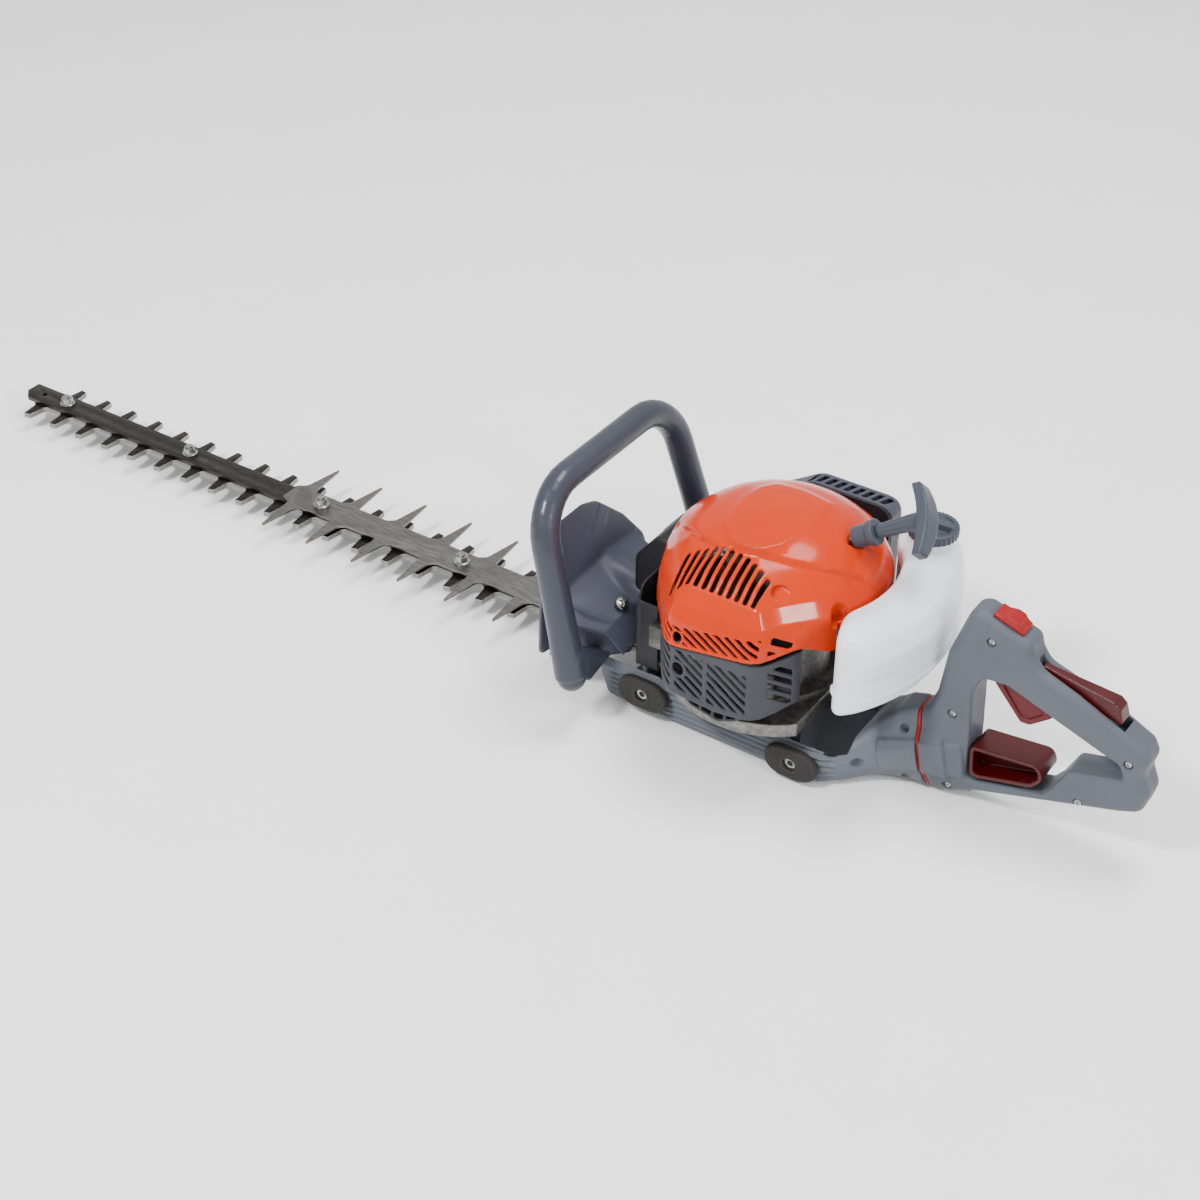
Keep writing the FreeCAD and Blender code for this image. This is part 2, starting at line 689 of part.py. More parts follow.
def plug_cover():
    """Dark cover over the spark plug in front of the cylinder."""
    outer = slab([(-128, 84, 6), (-104, 84, 4), (-100, 119, 3), (-92.5, 120, 2), (-92.5, 144, 5),
                  (-106, 144, 10), (-128, 118, 10)], "xz", -24.0, 34.0)
    inner = slab([(-126, 76, 4), (-102, 76, 3), (-97, 121, 3), (-88, 122, 0), (-88, 142, 0),
                  (-105, 142, 8), (-126, 116, 8)], "xz", -21.5, 31.5)
    return outer.cut(inner)


# ---------------------------------------------------------------- starter
def along_pull(distance):
    return tuple(PULL_FROM[i] + PULL[i] * distance for i in range(3))


def rope_guide():
    """Bush in the cover that the starter rope runs through."""
    bush = join([rod(9.0, along_pull(0), along_pull(20)), rod(10.5, along_pull(13), along_pull(20))])
    return bush.cut(rod(ROPE_R + FIT, along_pull(-1), along_pull(21)))


def starter_rope():
    """The straight stretch of rope between the housing and the handle."""
    return rod(ROPE_R, along_pull(-16), along_pull(40))


def starter_handle():
    """Stem and bowed cross grip."""
    stem = Part.makeCone(5.0, 7.0, 44, at(*along_pull(20.5)), at(*PULL))
    pull = at(*PULL)
    across = at(-0.497, 0.730, 0.465)
    across = across - pull * across.dot(pull)
    across.normalize()
    beside = pull.cross(across)
    wires = []
    for i in range(9):
        share = -1.0 + 0.25 * i
        centre = at(*along_pull(63.5 - 7.0 * share * share)) + across * (30.0 * share)
        wide = 9.5 - 2.5 * abs(share)
        signs = ((1, -1), (1, 1), (-1, 1), (-1, -1))
        corners = [centre + beside * wide * u + pull * 4.5 * v for u, v in signs]
        wires.append(Part.makePolygon(corners + [corners[0]]))
    grip = skin_between(wires)
    return join([stem, grip]).cut(rod(ROPE_R, along_pull(10), along_pull(40)))


def starter_pulley():
    low, high = PULLEY_Z
    disc = rod(PULLEY_R, (0, 0, low), (0, 0, high))
    groove = tube(PULLEY_R + 1, 24.0, (0, 0, low + 3), (0, 0, high - 3))
    bore = rod(8.0 + FIT, (0, 0, low - 10), (0, 0, high + 5))
    dogs = [rod(2.0, (x, 0, low - 10), (x, 0, low)) for x in (-17, 17)]
    return join([disc.cut(groove).cut(bore)] + dogs)


def starter_post():
    """Post under the top of the cover, which the pulley turns on."""
    return turned([(0, PULLEY_Z[0] - 2), (8, PULLEY_Z[0] - 2), (8, 197), (30, 197), (30, 202.5), (0, 204.5)])


def recoil_spring():
    """Flat spiral spring above the pulley."""
    low, high = PULLEY_Z[1] + 1.0, PULLEY_Z[1] + 5.5
    rings = [tube(12.5 + 4.0 * i, 11.7 + 4.0 * i, (0, 0, low), (0, 0, high)) for i in range(5)]
    rings.append(box(11.9, 28.4, -0.5, 0.5, low, high))
    return join(rings)


# ---------------------------------------------------------------- fuel
def tank_profile(inset):
    return [
        (TANK_INNER_R + inset, 98 + inset),
        (TANK_R - 18 - inset, 92 + inset),
        (TANK_R - 6 - inset, 106),
        (TANK_R - inset, 118),
        (TANK_R - inset, 152),
        (TANK_R - 8 - inset, 165 - inset),
        (TANK_INNER_R + 20, 169 - inset),
        (TANK_INNER_R + inset, 165 - inset),
    ]


def tank_plan(inset):
    """Wedge seen from above that the tank fills: its two ends are flat."""
    return [
        (76 + inset, -30, 0),
        (99 + inset, -86 + inset, 10),
        (200, -86 + inset, 0),
        (200, 104 - inset, 0),
        (106, 104 - inset, 14),
        (64 + inset, 70 - inset, 0),
        (40, 0, 0),
    ]


def fuel_tank():
    """Translucent tank that wraps round the rear of the engine."""
    x, y = CAP_AT
    whole = turned(tank_profile(0)).common(slab(tank_plan(0), "xy", 80, 200))
    whole = join([whole, rod(17.5, (x, y, 160), (x, y, 178))])
    room = turned(tank_profile(3.0)).common(slab(tank_plan(3.5), "xy", 80, 200))
    return whole.cut(room).cut(rod(14.0, (x, y, 155), (x, y, 180)))


def fuel_cap():
    """Screw cap with a raised finger bar."""
    x, y = CAP_AT
    disc = rod(20.5, (x, y, 178.4), (x, y, 187))
    plug = rod(13.6, (x, y, 170), (x, y, 178.4))
    bar = box(x - 16, x + 16, y - 3.5, y + 3.5, 187, 192)
    return join([disc, plug, bar])


# ---------------------------------------------------------------- base frame
def rail_profile():
    return [
        (RAIL_FRONT_X + 8, 2, 4),
        (96, 0, 6),
        (96, 34, 8),
        (10, 38, 10),
        (-66, 40, 4),
        (-72, 46, 3),
        (RAIL_FRONT_X, 44, 5),
        (RAIL_FRONT_X - 2, 26, 3),
    ]


def swivel_outline(grow, level):
    """Section of the fairing at the swivel, drawn about the X axis at the origin."""
    half = [(12, 35, 7), (15, 22, 6), (22, 12, 8), (22, -14, 10), (11, -38, 8)]
    near = [(-y - grow, z + grow * (1 if z > 0 else -1), r) for y, z, r in half]
    far = [(y + grow, z + grow * (1 if z > 0 else -1), r) for y, z, r in reversed(half)]
    return outline(near + far, "yz", level)


def fairing_outline(x, half, low, high, inset):
    """A section of the neck with the same number of corners as the swivel's."""
    half, low, high = half - inset, low + inset, high - inset
    middle = (low + high) / 2
    tall = (high - low) / 2
    side = [(half * 0.55, high, 8), (half * 0.86, middle + tall * 0.55, 8), (half, middle, 8),
            (half, middle - tall * 0.5, 8), (half * 0.9, low, 4)]
    near = [(-y, z, r) for y, z, r in side]
    far = list(reversed(side))
    return outline(near + far, "yz", x)


def neck_form(inset):
    """The frame's rear neck, which narrows and rises to the swivel."""
    wires = [
        fairing_outline(86.0, RAIL_Y - 3, 1.0, 38.0, inset),
        fairing_outline(106.0, 42.0, 2.0, 52.0, inset),
        fairing_outline(124.0, 29.0, 3.0, 72.0, inset),
        on_swivel(swivel_outline(-inset, -1.5)),
    ]
    return skin_between(wires)


def frame_half(side):
    """One moulded half: a side rail with long ribs, and half of the neck."""
    rail = slab(rail_profile(), "xz", -RAIL_Y, -RAIL_Y + 5.0)
    floor = slab(
        [(RAIL_FRONT_X + 10, -RAIL_Y, 4), (96, -RAIL_Y, 4), (96, -48, 2), (RAIL_FRONT_X + 10, -48, 2)],
        "xy", 2.0, 6.0)
    ribs = []
    for i in range(4):
        z = 6.0 + 7.0 * i
        ribs.append(box(RAIL_FRONT_X + 6, 92, -RAIL_Y - 2.2, -RAIL_Y + 1, z, z + 3.0))
    rail = join([rail, floor] + ribs)
    neck = neck_form(0).cut(neck_form(4.0)).cut(box(60, 91, -80, 80, -5, 120))
    wall = on_swivel(Part.Face(swivel_outline(-2.0, -6.5)).extrude(at(5.0, 0, 0)))
    bearing = on_swivel(rod(SPIGOT_R + 4, (-24, 0, 0), (-1.5, 0, 0)))
    neck = join([neck, wall, bearing])
    if side > 0:
        rail = mirrored(rail)
        neck = neck.common(box(80, 200, 0, 90, -5, 120))
    else:
        neck = neck.common(box(80, 200, -90, 0, -5, 120))
    whole = join([rail, neck])
    return whole.cut(on_swivel(rod(SPIGOT_R + FIT, (-40, 0, 0), (20, 0, 0))))


def base_skid():
    """Flat sole plate between the rails, on which the trimmer rests."""
    sole = slab(
        [(RAIL_FRONT_X + 6, -47.5, 10), (90, -47.5, 10), (90, 47.5, 10), (RAIL_FRONT_X + 6, 47.5, 10)],
        "xy", 0.0, 4.0)
    posts = []
    for x, y in ((-70, -28), (-70, 28), (14, -14), (14, 14)):
        posts.append(rod(5.0, (x, y, 4.0), (x, y, 8.0)))
    return join([sole] + posts)


def engine_posts():
    """Rubber-bushed mounts that carry the engine plate on the rails."""
    posts = []
    for x, y in ((-44, -50.2), (-44, 50.2), (52, -50.2), (52, 50.2)):
        posts.append(rod(3.9, (x, y, 6.0), (x, y, 45.5)))
    return group(posts)


BUMPERS = ((-84.0, 25.0), (57.0, 18.0))


def bumpers():
    """Oval ribbed rubber pads on both sides of the frame."""
    pads = []
    for x, z in BUMPERS:
        pad = slab(
            [(x - 20, z - 15.5, 15), (x + 20, z - 15.5, 15), (x + 20, z + 15.5, 15), (x - 20, z + 15.5, 15)],
            "xz", -RAIL_Y - 9.0, -RAIL_Y - 2.2)
        pad = pad.cut(rod(6.5, (x, -RAIL_Y - 10, z), (x, -RAIL_Y - 2, z)))
        pads.append(pad)
        pads.append(mirrored(pad))
    return group(pads)


def chassis_screws():
    """Bumper bolts, hand guard screws and gear case screws."""
    screws = []
    for x, z in BUMPERS:
        head = rod(6.0, (x, -RAIL_Y - 6.5, z), (x, -RAIL_Y - 2.2, z))
        shank = rod(2.5, (x, -RAIL_Y - 2.2, z), (x, -RAIL_Y + 5.0, z))
        socket = rod(2.6, (x, -RAIL_Y - 7, z), (x, -RAIL_Y - 4, z))
        bolt = join([head, shank]).cut(socket)
        screws.append(bolt)
        screws.append(mirrored(bolt))
    for y in (-30.0, 30.0):
        screws.append(rod(6.0, (-129.4, y, 75.4), (-127.6, y, 78.2)))
    for x, y in CASE_SCREWS:
        screws.append(join([rod(1.6, (x, y, 12), (x, y, 41)), rod(2.6, (x, y, 41), (x, y, 45))]))
    return group(screws)


# ---------------------------------------------------------------- front handle and hand guard
def bail_path(radius):
    """A bar across the top with a leg down each side, swept at one radius."""
    top_x, top_y, top_z = BAIL_TOP
    drop = top_z - BAIL_FOOT_Z
    foot = (top_x + BAIL_LEAN * drop, top_y + BAIL_SPLAY * drop)
    corners = [
        at(foot[0], -foot[1], BAIL_FOOT_Z),
        at(top_x, -top_y, top_z),
        at(top_x, top_y, top_z),
        at(foot[0], foot[1], BAIL_FOOT_Z),
    ]
    edges = []
    last = corners[0]
    for i in (1, 2):
        back = corners[i - 1] - corners[i]
        ahead = corners[i + 1] - corners[i]
        half = back.getAngle(ahead) / 2
        back.normalize()
        ahead.normalize()
        reach = BAIL_BEND_R / math.tan(half)
        middle = back + ahead
        middle.normalize()
        start = corners[i] + back * reach
        end = corners[i] + ahead * reach
        centre_gap = BAIL_BEND_R / math.sin(half) - BAIL_BEND_R
        edges.append(Part.LineSegment(last, start).toShape())
        edges.append(Part.Arc(start, corners[i] + middle * centre_gap, end).toShape())
        last = end
    edges.append(Part.LineSegment(last, corners[3]).toShape())
    path = Part.Wire(edges)
    ring = Part.Wire(Part.makeCircle(radius, corners[0], corners[1] - corners[0]))
    return path.makePipeShell([ring], True, True)


def front_handle():
    """Tubular bail across the machine, with feet that bolt to the frame."""
    bail = bail_path(BAIL_R)
    top_x, top_y, top_z = BAIL_TOP
    drop = top_z - BAIL_FOOT_Z
    x = top_x + BAIL_LEAN * drop
    y = top_y + BAIL_SPLAY * drop
    foot = slab(
        [(-y - 8, 60, 6), (-y + 14, 64, 6), (-RAIL_Y + 4, 46, 4), (-RAIL_Y + 4, 33, 4), (-y + 10, 42, 8)],
        "yz", x - 9, x + 9)
    return join([bail, foot, mirrored(foot)])


def hand_guard():
    """Shield in front of the left hand: an upright plate whose lower middle slopes back."""
    plate = slab(
        [(-96, 46, 8), (-92, 84, 10), (-80, 140, 20), (-62, 158, 14), (-12, 158, 18), (8, 148, 14),
         (46, 100, 20), (58, 70, 14), (58, 62, 6), (30, 62, 4), (-30, 62, 4), (-60, 60, 6), (-74, 46, 6)],
        "yz", -168.0, -164.5)
    slope = slab(
        [(-168, 94, 0), (-164.5, 97, 0), (-124, 70, 4), (-112, 48, 0), (-115.5, 46, 0), (-127, 66, 4)],
        "xz", -50.0, 50.0)
    ears = [box(-115.5, -112.0, -52, -20, 28, 50), box(-115.5, -112.0, 20, 52, 28, 50)]
    middle_z = 66.5
    window = rod(12.5, (-180, 0, middle_z), (-100, 0, middle_z))
    tunnel = tube(15.0, 12.5, (-166, 0, middle_z), (-113, 0, middle_z))
    tunnel = tunnel.cut(box(-200, -100, -40, 40, 30, middle_z))
    whole = join([plate, slope.cut(window), tunnel] + ears)
    return whole.cut(box(-200, -100, -12.4, 12.4, 20, middle_z))


# ---------------------------------------------------------------- rear handle
def on_switch(shape):
    """Puts a shape drawn at the origin onto the sloping top of the rear handle."""
    shape.rotate(at(0, 0, 0), at(0, 1, 0), SWITCH_SLOPE)
    shape.translate(at(*SWITCH_AT))
    return shape


def handle_outline():
    return [
        (157, 4, 8),
        (190, 15, 20),
        (307, 51, 12),
        (324, 58, 10),
        (328, 76, 12),
        (321, 92, 12),
        (324, 105, 8),
        (319, 115, 10),
        (296, 126.5, 30),
        (262, 140, 30),
        (231, 150, 14),
        (224, 160, 12),
        (221, 171, 8),
        (178, 185, 9),
        (170, 181, 8),
        (156, 138, 16),
        (151, 98, 10),
        (143, 76, 3),
    ]


def handle_window():
    return [
        (181, 110, 10),
        (188, 127.5, 9),
        (208, 129, 8),
        (287, 101, 20),
        (302, 96.5, 7),
        (307.5, 84, 3),
        (264.5, 73, 6),
        (253.5, 50.5, 4),
        (246.5, 41, 4),
        (192, 28, 5),
        (184, 29, 5),
        (183, 66, 20),
    ]


def lever_plan(grow):
    """The lockout lever seen from above: narrow at its pivot, wide where the palm presses."""
    return [
        (227 - grow, -3.0 - grow, 0.5),
        (298.5 + grow, -7.5 - grow, 0.5),
        (298.5 + grow, 7.5 + grow, 0.5),
        (227 - grow, 3.0 + grow, 0.5),
    ]


def handle_half(side):
    """One moulded half of the D-shaped rear handle, with the rooms for its controls."""
    low, high = (-HANDLE_HALF, 0.0) if side < 0 else (0.0, HANDLE_HALF)
    body = slab(handle_outline(), "xz", low, high)
    collar = skin_between([
        on_swivel(swivel_outline(0, 1.5 + FIT)),
        on_swivel(swivel_outline(0, 16.0)),
        fairing_outline(180.0, 17.0, 14.0, 66.0, 0),
    ])
    collar = collar.common(box(100, 200, low * 3, high * 3, 0, 120))
    body = join([body, collar]).cut(slab(handle_window(), "xz", -40, 40))
    beyond = on_swivel(box(-60, 1.5 + FIT, -60, 60, -60, 60))
    trigger_room = slab(
        [(189, 100, 2), (240, 86, 2), (262, 100, 2), (258, 130, 4), (222, 145, 6), (194, 143, 4)],
        "xz", -8.6, 8.6)
    lever_room = slab([(225, 141, 1), (299, 111, 1), (301, 140, 1), (226, 165, 1)], "xz", -8.6, 8.6)
    lever_room = lever_room.common(slab(lever_plan(0.9), "xy", 100, 180))
    switch_room = on_switch(box(9.5, 22.5, -4.5, 4.5, -7.0, 3.0))
    front_room = box(160, 177, -9, 9, 44, 150)
    tongue_way = box(170, 190, -4.6, 4.6, 44, 55)
    rooms = join([trigger_room, lever_room])
    body = body.cut(beyond).cut(rooms).cut(switch_room).cut(front_room).cut(tongue_way)
    return body.cut(on_swivel(rod(SPIGOT_R, (-10, 0, 0), (12, 0, 0))))


def swivel_ring():
    """Bright seal between the frame and the rear handle."""
    band = Part.Face(swivel_outline(0.6, -1.5)).extrude(at(3.0, 0, 0))
    return on_swivel(band.cut(rod(SPIGOT_R + FIT, (-5, 0, 0), (5, 0, 0))))


def swivel_spigot():
    """Tube fixed in the rear handle that turns in the frame's neck."""
    sleeve = tube(SPIGOT_R, SPIGOT_R - 4, (-27.5, 0, 0), (12, 0, 0))
    flange = tube(SPIGOT_R + 3.0, SPIGOT_R - 4, (-27.5, 0, 0), (-24.3, 0, 0))
    return on_swivel(join([sleeve, flange]))


HANDLE_SCREWS = ((190, 161), (166, 86), (311, 96), (276, 49), (172, 15))
TRIGGER_PIVOT = (202.0, 133.0)
LOCKOUT_PIVOT = (233.0, 146.5)


def rear_handle_screws():
    """Case screws of the handle, and the two pins of its levers."""
    screws = []
    for x, z in HANDLE_SCREWS:
        screws.append(rod(2.6, (x, -HANDLE_HALF + 1.5, z), (x, HANDLE_HALF - 4, z)))
    for x, z in (TRIGGER_PIVOT, LOCKOUT_PIVOT):
        screws.append(rod(1.6, (x, -HANDLE_HALF + 3, z), (x, HANDLE_HALF - 3, z)))
    return group(screws)


def throttle_trigger():
    """Finger lever under the grip, hinged at its front."""
    lever = slab([
        (196, 135, 5),
        (195, 122, 3),
        (219, 94.5, 3),
        (227, 95, 4),
        (244, 109, 4),
        (240, 119, 4),
        (208, 138, 5),
    ], "xz", -7.5, 7.5)
    x, z = TRIGGER_PIVOT
    return lever.cut(rod(1.6 + 0.1, (x, -10, z), (x, 10, z)))


def lockout_lever():
    """Lever along the back of the grip, pressed by the palm before the trigger can move."""
    lever = slab([
        (229, 151, 1),
        (260, 147, 20),
        (289, 143.5, 3),
        (294, 139, 2),
        (298, 127, 2),
        (262, 133, 6),
        (229, 143, 1),
    ], "xz", -7.5, 7.5)
    lever = lever.common(slab(lever_plan(0), "xy", 100, 180))
    x, z = LOCKOUT_PIVOT
    return lever.cut(rod(1.6 + 0.1, (x, -10, z), (x, 10, z)))


def stop_switch():
    """Slide switch on top of the handle, with a ridge for the thumb and a foot in its slot."""
    cap = box(0, 27, -8.2, 8.2, 0.0, 2.4)
    ridge = slab([(5, 2, 0), (12, 6, 3), (18, 6, 3), (26, 2, 0), (26, 1, 0), (5, 1, 0)], "xz", -8.2, 8.2)
    foot = box(10.5, 16.0, -4.0, 4.0, -5.0, 1.0)
    return on_switch(join([cap, ridge, foot]))


def rotation_lever():
    """Red loop in the handle's window that unlocks the swivel when it is pulled back."""
    outer = [(184.5, 60, 5), (186, 33.5, 5), (192, 31, 5), (238, 43, 8), (247, 54, 9), (242, 66, 8)]
    inner = [(188.5, 57, 3), (190, 37, 3), (193, 35.5, 3), (236, 47, 5), (243, 54.5, 6), (239, 62.5, 5)]
    loop = slab(outer, "xz", -14.5, 14.5).cut(slab(inner, "xz", -20, 20))
    return join([loop, box(174, 187, -4.0, 4.0, 46, 51)])


# ---------------------------------------------------------------- build
BUILDERS = {
    "guide_bar": guide_bar,
    "upper_blade": lambda: blade(UPPER_Z),
    "lower_blade": lambda: blade(LOWER_Z),
    "tooth_guard": tooth_guard,
    "blade_bolts": blade_bolts,
    "blade_nuts": blade_nuts,
    "gear_case_lower": gear_case_lower,
    "gear_case_upper": gear_case_upper,
    "gear_pin": gear_pin,
    "drive_gear": drive_gear,
    "pinion_drum": pinion_drum,
    "clutch_shoes": clutch_shoes,
    "crankshaft": crankshaft,
    "ball_bearings": ball_bearings,
    "engine_base": engine_base,
    "crankcase": crankcase,
    "cylinder": cylinder,
    "piston": piston,
    "connecting_rod": connecting_rod,
    "flywheel": flywheel,
    "ignition_coil": ignition_coil,
    "spark_plug": spark_plug,
    "plug_cap": plug_cap,
    "plug_cover": plug_cover,
    "muffler": muffler,
    "intake_manifold": intake_manifold,
    "carburetor": carburetor,
    "primer_bulb": primer_bulb,
    "choke_lever": choke_lever,
    "air_filter": air_filter,
    "filter_plate": filter_plate,
    "air_filter_cover": air_filter_cover,
    "filter_knob": filter_knob,
    "engine_cover": engine_cover,
    "muffler_guard": muffler_guard,
    "rope_guide": rope_guide,
    "starter_rope": starter_rope,
    "starter_handle": starter_handle,
    "starter_pulley": starter_pulley,
    "starter_post": starter_post,
    "recoil_spring": recoil_spring,
    "fuel_tank": fuel_tank,
    "fuel_cap": fuel_cap,
    "base_skid": base_skid,
    "frame_left": lambda: frame_half(-1),
    "frame_right": lambda: frame_half(1),
    "engine_posts": engine_posts,
    "chassis_screws": chassis_screws,
    "bumpers": bumpers,
    "front_handle": front_handle,
    "hand_guard": hand_guard,
    "rear_handle_left": lambda: handle_half(-1),
    "rear_handle_right": lambda: handle_half(1),
    "rear_handle_screws": rear_handle_screws,
    "swivel_ring": swivel_ring,
    "swivel_spigot": swivel_spigot,
    "throttle_trigger": throttle_trigger,
    "lockout_lever": lockout_lever,
    "stop_switch": stop_switch,
    "rotation_lever": rotation_lever,
}

for node, make in BUILDERS.items():
    parts[node] = make()

relieve("engine_cover", "rope_guide")
relieve("gear_case_lower", "chassis_screws")
relieve("gear_case_upper", "chassis_screws")
relieve("front_handle", "frame_left", "frame_right")
relieve("frame_left", "chassis_screws")
relieve("frame_right", "chassis_screws")
relieve("rear_handle_left", "rear_handle_screws")
relieve("rear_handle_right", "rear_handle_screws")
relieve("hand_guard", "chassis_screws")

os.makedirs("parts", exist_ok=True)
for node, shape in parts.items():
    shape.exportStep("parts/" + node + ".step")
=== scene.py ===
"""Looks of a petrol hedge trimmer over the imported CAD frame: moulded casings, steel cutter and controls."""

import json
import math

import bmesh
import bpy
import numpy as np
import openvdb
from mathutils import Matrix, Vector


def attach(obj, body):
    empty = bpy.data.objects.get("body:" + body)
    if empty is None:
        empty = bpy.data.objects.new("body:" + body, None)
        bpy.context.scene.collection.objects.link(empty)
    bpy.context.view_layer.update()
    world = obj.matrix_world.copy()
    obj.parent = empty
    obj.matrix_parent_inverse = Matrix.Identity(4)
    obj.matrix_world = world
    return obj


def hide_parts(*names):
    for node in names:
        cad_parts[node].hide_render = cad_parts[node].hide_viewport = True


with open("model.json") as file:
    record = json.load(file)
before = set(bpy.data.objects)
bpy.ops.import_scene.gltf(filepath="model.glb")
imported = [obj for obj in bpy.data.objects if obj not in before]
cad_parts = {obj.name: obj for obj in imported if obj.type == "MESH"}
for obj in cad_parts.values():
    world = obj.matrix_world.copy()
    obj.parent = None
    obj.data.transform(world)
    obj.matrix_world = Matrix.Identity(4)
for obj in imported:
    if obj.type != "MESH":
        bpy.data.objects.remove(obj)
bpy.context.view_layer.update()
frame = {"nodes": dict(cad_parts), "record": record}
nodes = frame["nodes"]

# ---------------------------------------------------------------- materials

NOISE_LOW, NOISE_HIGH = 0.3, 0.7  # the middle of a noise's values, over which a range is spread
BUMP_STRENGTH = 0.6
COAT_ROUGHNESS = 0.05


def linear(red, green, blue):
    """Linear values of a colour given as 0 to 255 screen values."""
    return [((c / 255 + 0.055) / 1.055) ** 2.4 if c > 10 else c / 255 / 12.92 for c in (red, green, blue)]


def new_material(name):
    material = bpy.data.materials.new(name)
    material.use_nodes = True
    tree = material.node_tree
    return material, tree.nodes, tree.links, tree.nodes["Principled BSDF"]


def noise(tree_nodes, links, scale, detail, stretch=(1, 1, 1)):
    coords = tree_nodes.new("ShaderNodeTexCoord")
    mapping = tree_nodes.new("ShaderNodeMapping")
    mapping.inputs["Scale"].default_value = stretch
    texture = tree_nodes.new("ShaderNodeTexNoise")
    texture.inputs["Scale"].default_value = scale
    texture.inputs["Detail"].default_value = detail
    links.new(coords.outputs["Object"], mapping.inputs["Vector"])
    links.new(mapping.outputs["Vector"], texture.inputs["Vector"])
    return texture.outputs["Fac"]


def ramp(tree_nodes, links, source, low, high):
    node = tree_nodes.new("ShaderNodeValToRGB")
    node.color_ramp.elements[0].position = NOISE_LOW
    node.color_ramp.elements[1].position = NOISE_HIGH
    node.color_ramp.elements[0].color = (*low, 1)
    node.color_ramp.elements[1].color = (*high, 1)
    links.new(source, node.inputs["Fac"])
    return node.outputs["Color"]


def spread(tree_nodes, links, source, low, high, start=NOISE_LOW, end=NOISE_HIGH):
    node = tree_nodes.new("ShaderNodeMapRange")
    node.inputs["From Min"].default_value = start
    node.inputs["From Max"].default_value = end
    node.inputs["To Min"].default_value = low
    node.inputs["To Max"].default_value = high
    links.new(source, node.inputs["Value"])
    return node.outputs["Result"]


def bump(tree_nodes, links, shader, source, height):
    node = tree_nodes.new("ShaderNodeBump")
    node.inputs["Strength"].default_value = BUMP_STRENGTH
    node.inputs["Distance"].default_value = height
    links.new(source, node.inputs["Height"])
    links.new(node.outputs["Normal"], shader.inputs["Normal"])


def plastic(name, colour, rough, grain=900.0, height=0.00015, coat=0.0, vary=0.07, shine=0.28):
    """Moulded plastic: faint cloudiness in the colour, uneven gloss and a fine grain."""
    material, tree_nodes, links, shader = new_material(name)
    base = linear(*colour)
    cloud = noise(tree_nodes, links, 14.0, 4.0)
    shades = ([c * (1 - vary) for c in base], [min(1.0, c * (1 + vary)) for c in base])
    links.new(ramp(tree_nodes, links, cloud, *shades), shader.inputs["Base Color"])
    patchy = noise(tree_nodes, links, 60.0, 5.0)
    links.new(spread(tree_nodes, links, patchy, rough - 0.06, rough + 0.08), shader.inputs["Roughness"])
    bump(tree_nodes, links, shader, noise(tree_nodes, links, grain, 2.0), height)
    shader.inputs["Specular IOR Level"].default_value = shine
    shader.inputs["Coat Weight"].default_value = coat
    shader.inputs["Coat Roughness"].default_value = COAT_ROUGHNESS
    return material


def metal(name, dark, bright, rough, stretch, scale, height=0.00008):
    """Metal with rolling or grinding marks along one direction and a mottled tone."""
    material, tree_nodes, links, shader = new_material(name)
    marks = noise(tree_nodes, links, scale, 5.0, stretch)
    links.new(ramp(tree_nodes, links, marks, linear(*dark), linear(*bright)), shader.inputs["Base Color"])
    patchy = noise(tree_nodes, links, 45.0, 5.0)
    links.new(spread(tree_nodes, links, patchy, rough - 0.08, rough + 0.12), shader.inputs["Roughness"])
    bump(tree_nodes, links, shader, marks, height)
    shader.inputs["Metallic"].default_value = 1.0
    return material


def bevelled_steel(name, dark, bright, edge):
    """Dark oiled plate whose ground, slanting edges are bright."""
    material, tree_nodes, links, shader = new_material(name)
    marks = noise(tree_nodes, links, 120.0, 5.0, (1, 6, 6))
    face = ramp(tree_nodes, links, marks, linear(*dark), linear(*bright))
    geometry = tree_nodes.new("ShaderNodeNewGeometry")
    split = tree_nodes.new("ShaderNodeSeparateXYZ")
    links.new(geometry.outputs["Normal"], split.inputs["Vector"])
    level = tree_nodes.new("ShaderNodeMath")
    level.operation = "ABSOLUTE"
    links.new(split.outputs["Z"], level.inputs[0])
    slant = spread(tree_nodes, links, level.outputs["Value"], 1.0, 0.0, 0.80, 0.97)
    mix = tree_nodes.new("ShaderNodeMix")
    mix.data_type = "RGBA"
    links.new(slant, mix.inputs["Factor"])
    links.new(face, mix.inputs["A"])
    scratch = ramp(tree_nodes, links, marks, linear(*[c * 0.85 for c in edge]), linear(*edge))
    links.new(scratch, mix.inputs["B"])
    links.new(mix.outputs["Result"], shader.inputs["Base Color"])
    patchy = noise(tree_nodes, links, 70.0, 5.0)
    links.new(spread(tree_nodes, links, patchy, 0.28, 0.46), shader.inputs["Roughness"])
    bump(tree_nodes, links, shader, marks, 0.00006)
    shader.inputs["Metallic"].default_value = 0.9
    return material


def milky(name):
    """Translucent moulded polyethylene."""
    material, tree_nodes, links, shader = new_material(name)
    cloud = noise(tree_nodes, links, 9.0, 4.0)
    links.new(ramp(tree_nodes, links, cloud, linear(222, 226, 232), linear(238, 241, 246)),
              shader.inputs["Base Color"])
    patchy = noise(tree_nodes, links, 40.0, 4.0)
    links.new(spread(tree_nodes, links, patchy, 0.26, 0.40), shader.inputs["Roughness"])
    bump(tree_nodes, links, shader, noise(tree_nodes, links, 260.0, 2.0), 0.0001)
    shader.inputs["Subsurface Weight"].default_value = 0.35
    shader.inputs["Subsurface Radius"].default_value = (0.010, 0.011, 0.012)
    shader.inputs["Subsurface Scale"].default_value = 1.0
    return material


def rubbery(name, colour, rough):
    return plastic(name, colour, rough, 500.0, 0.0003, 0.0, 0.12)


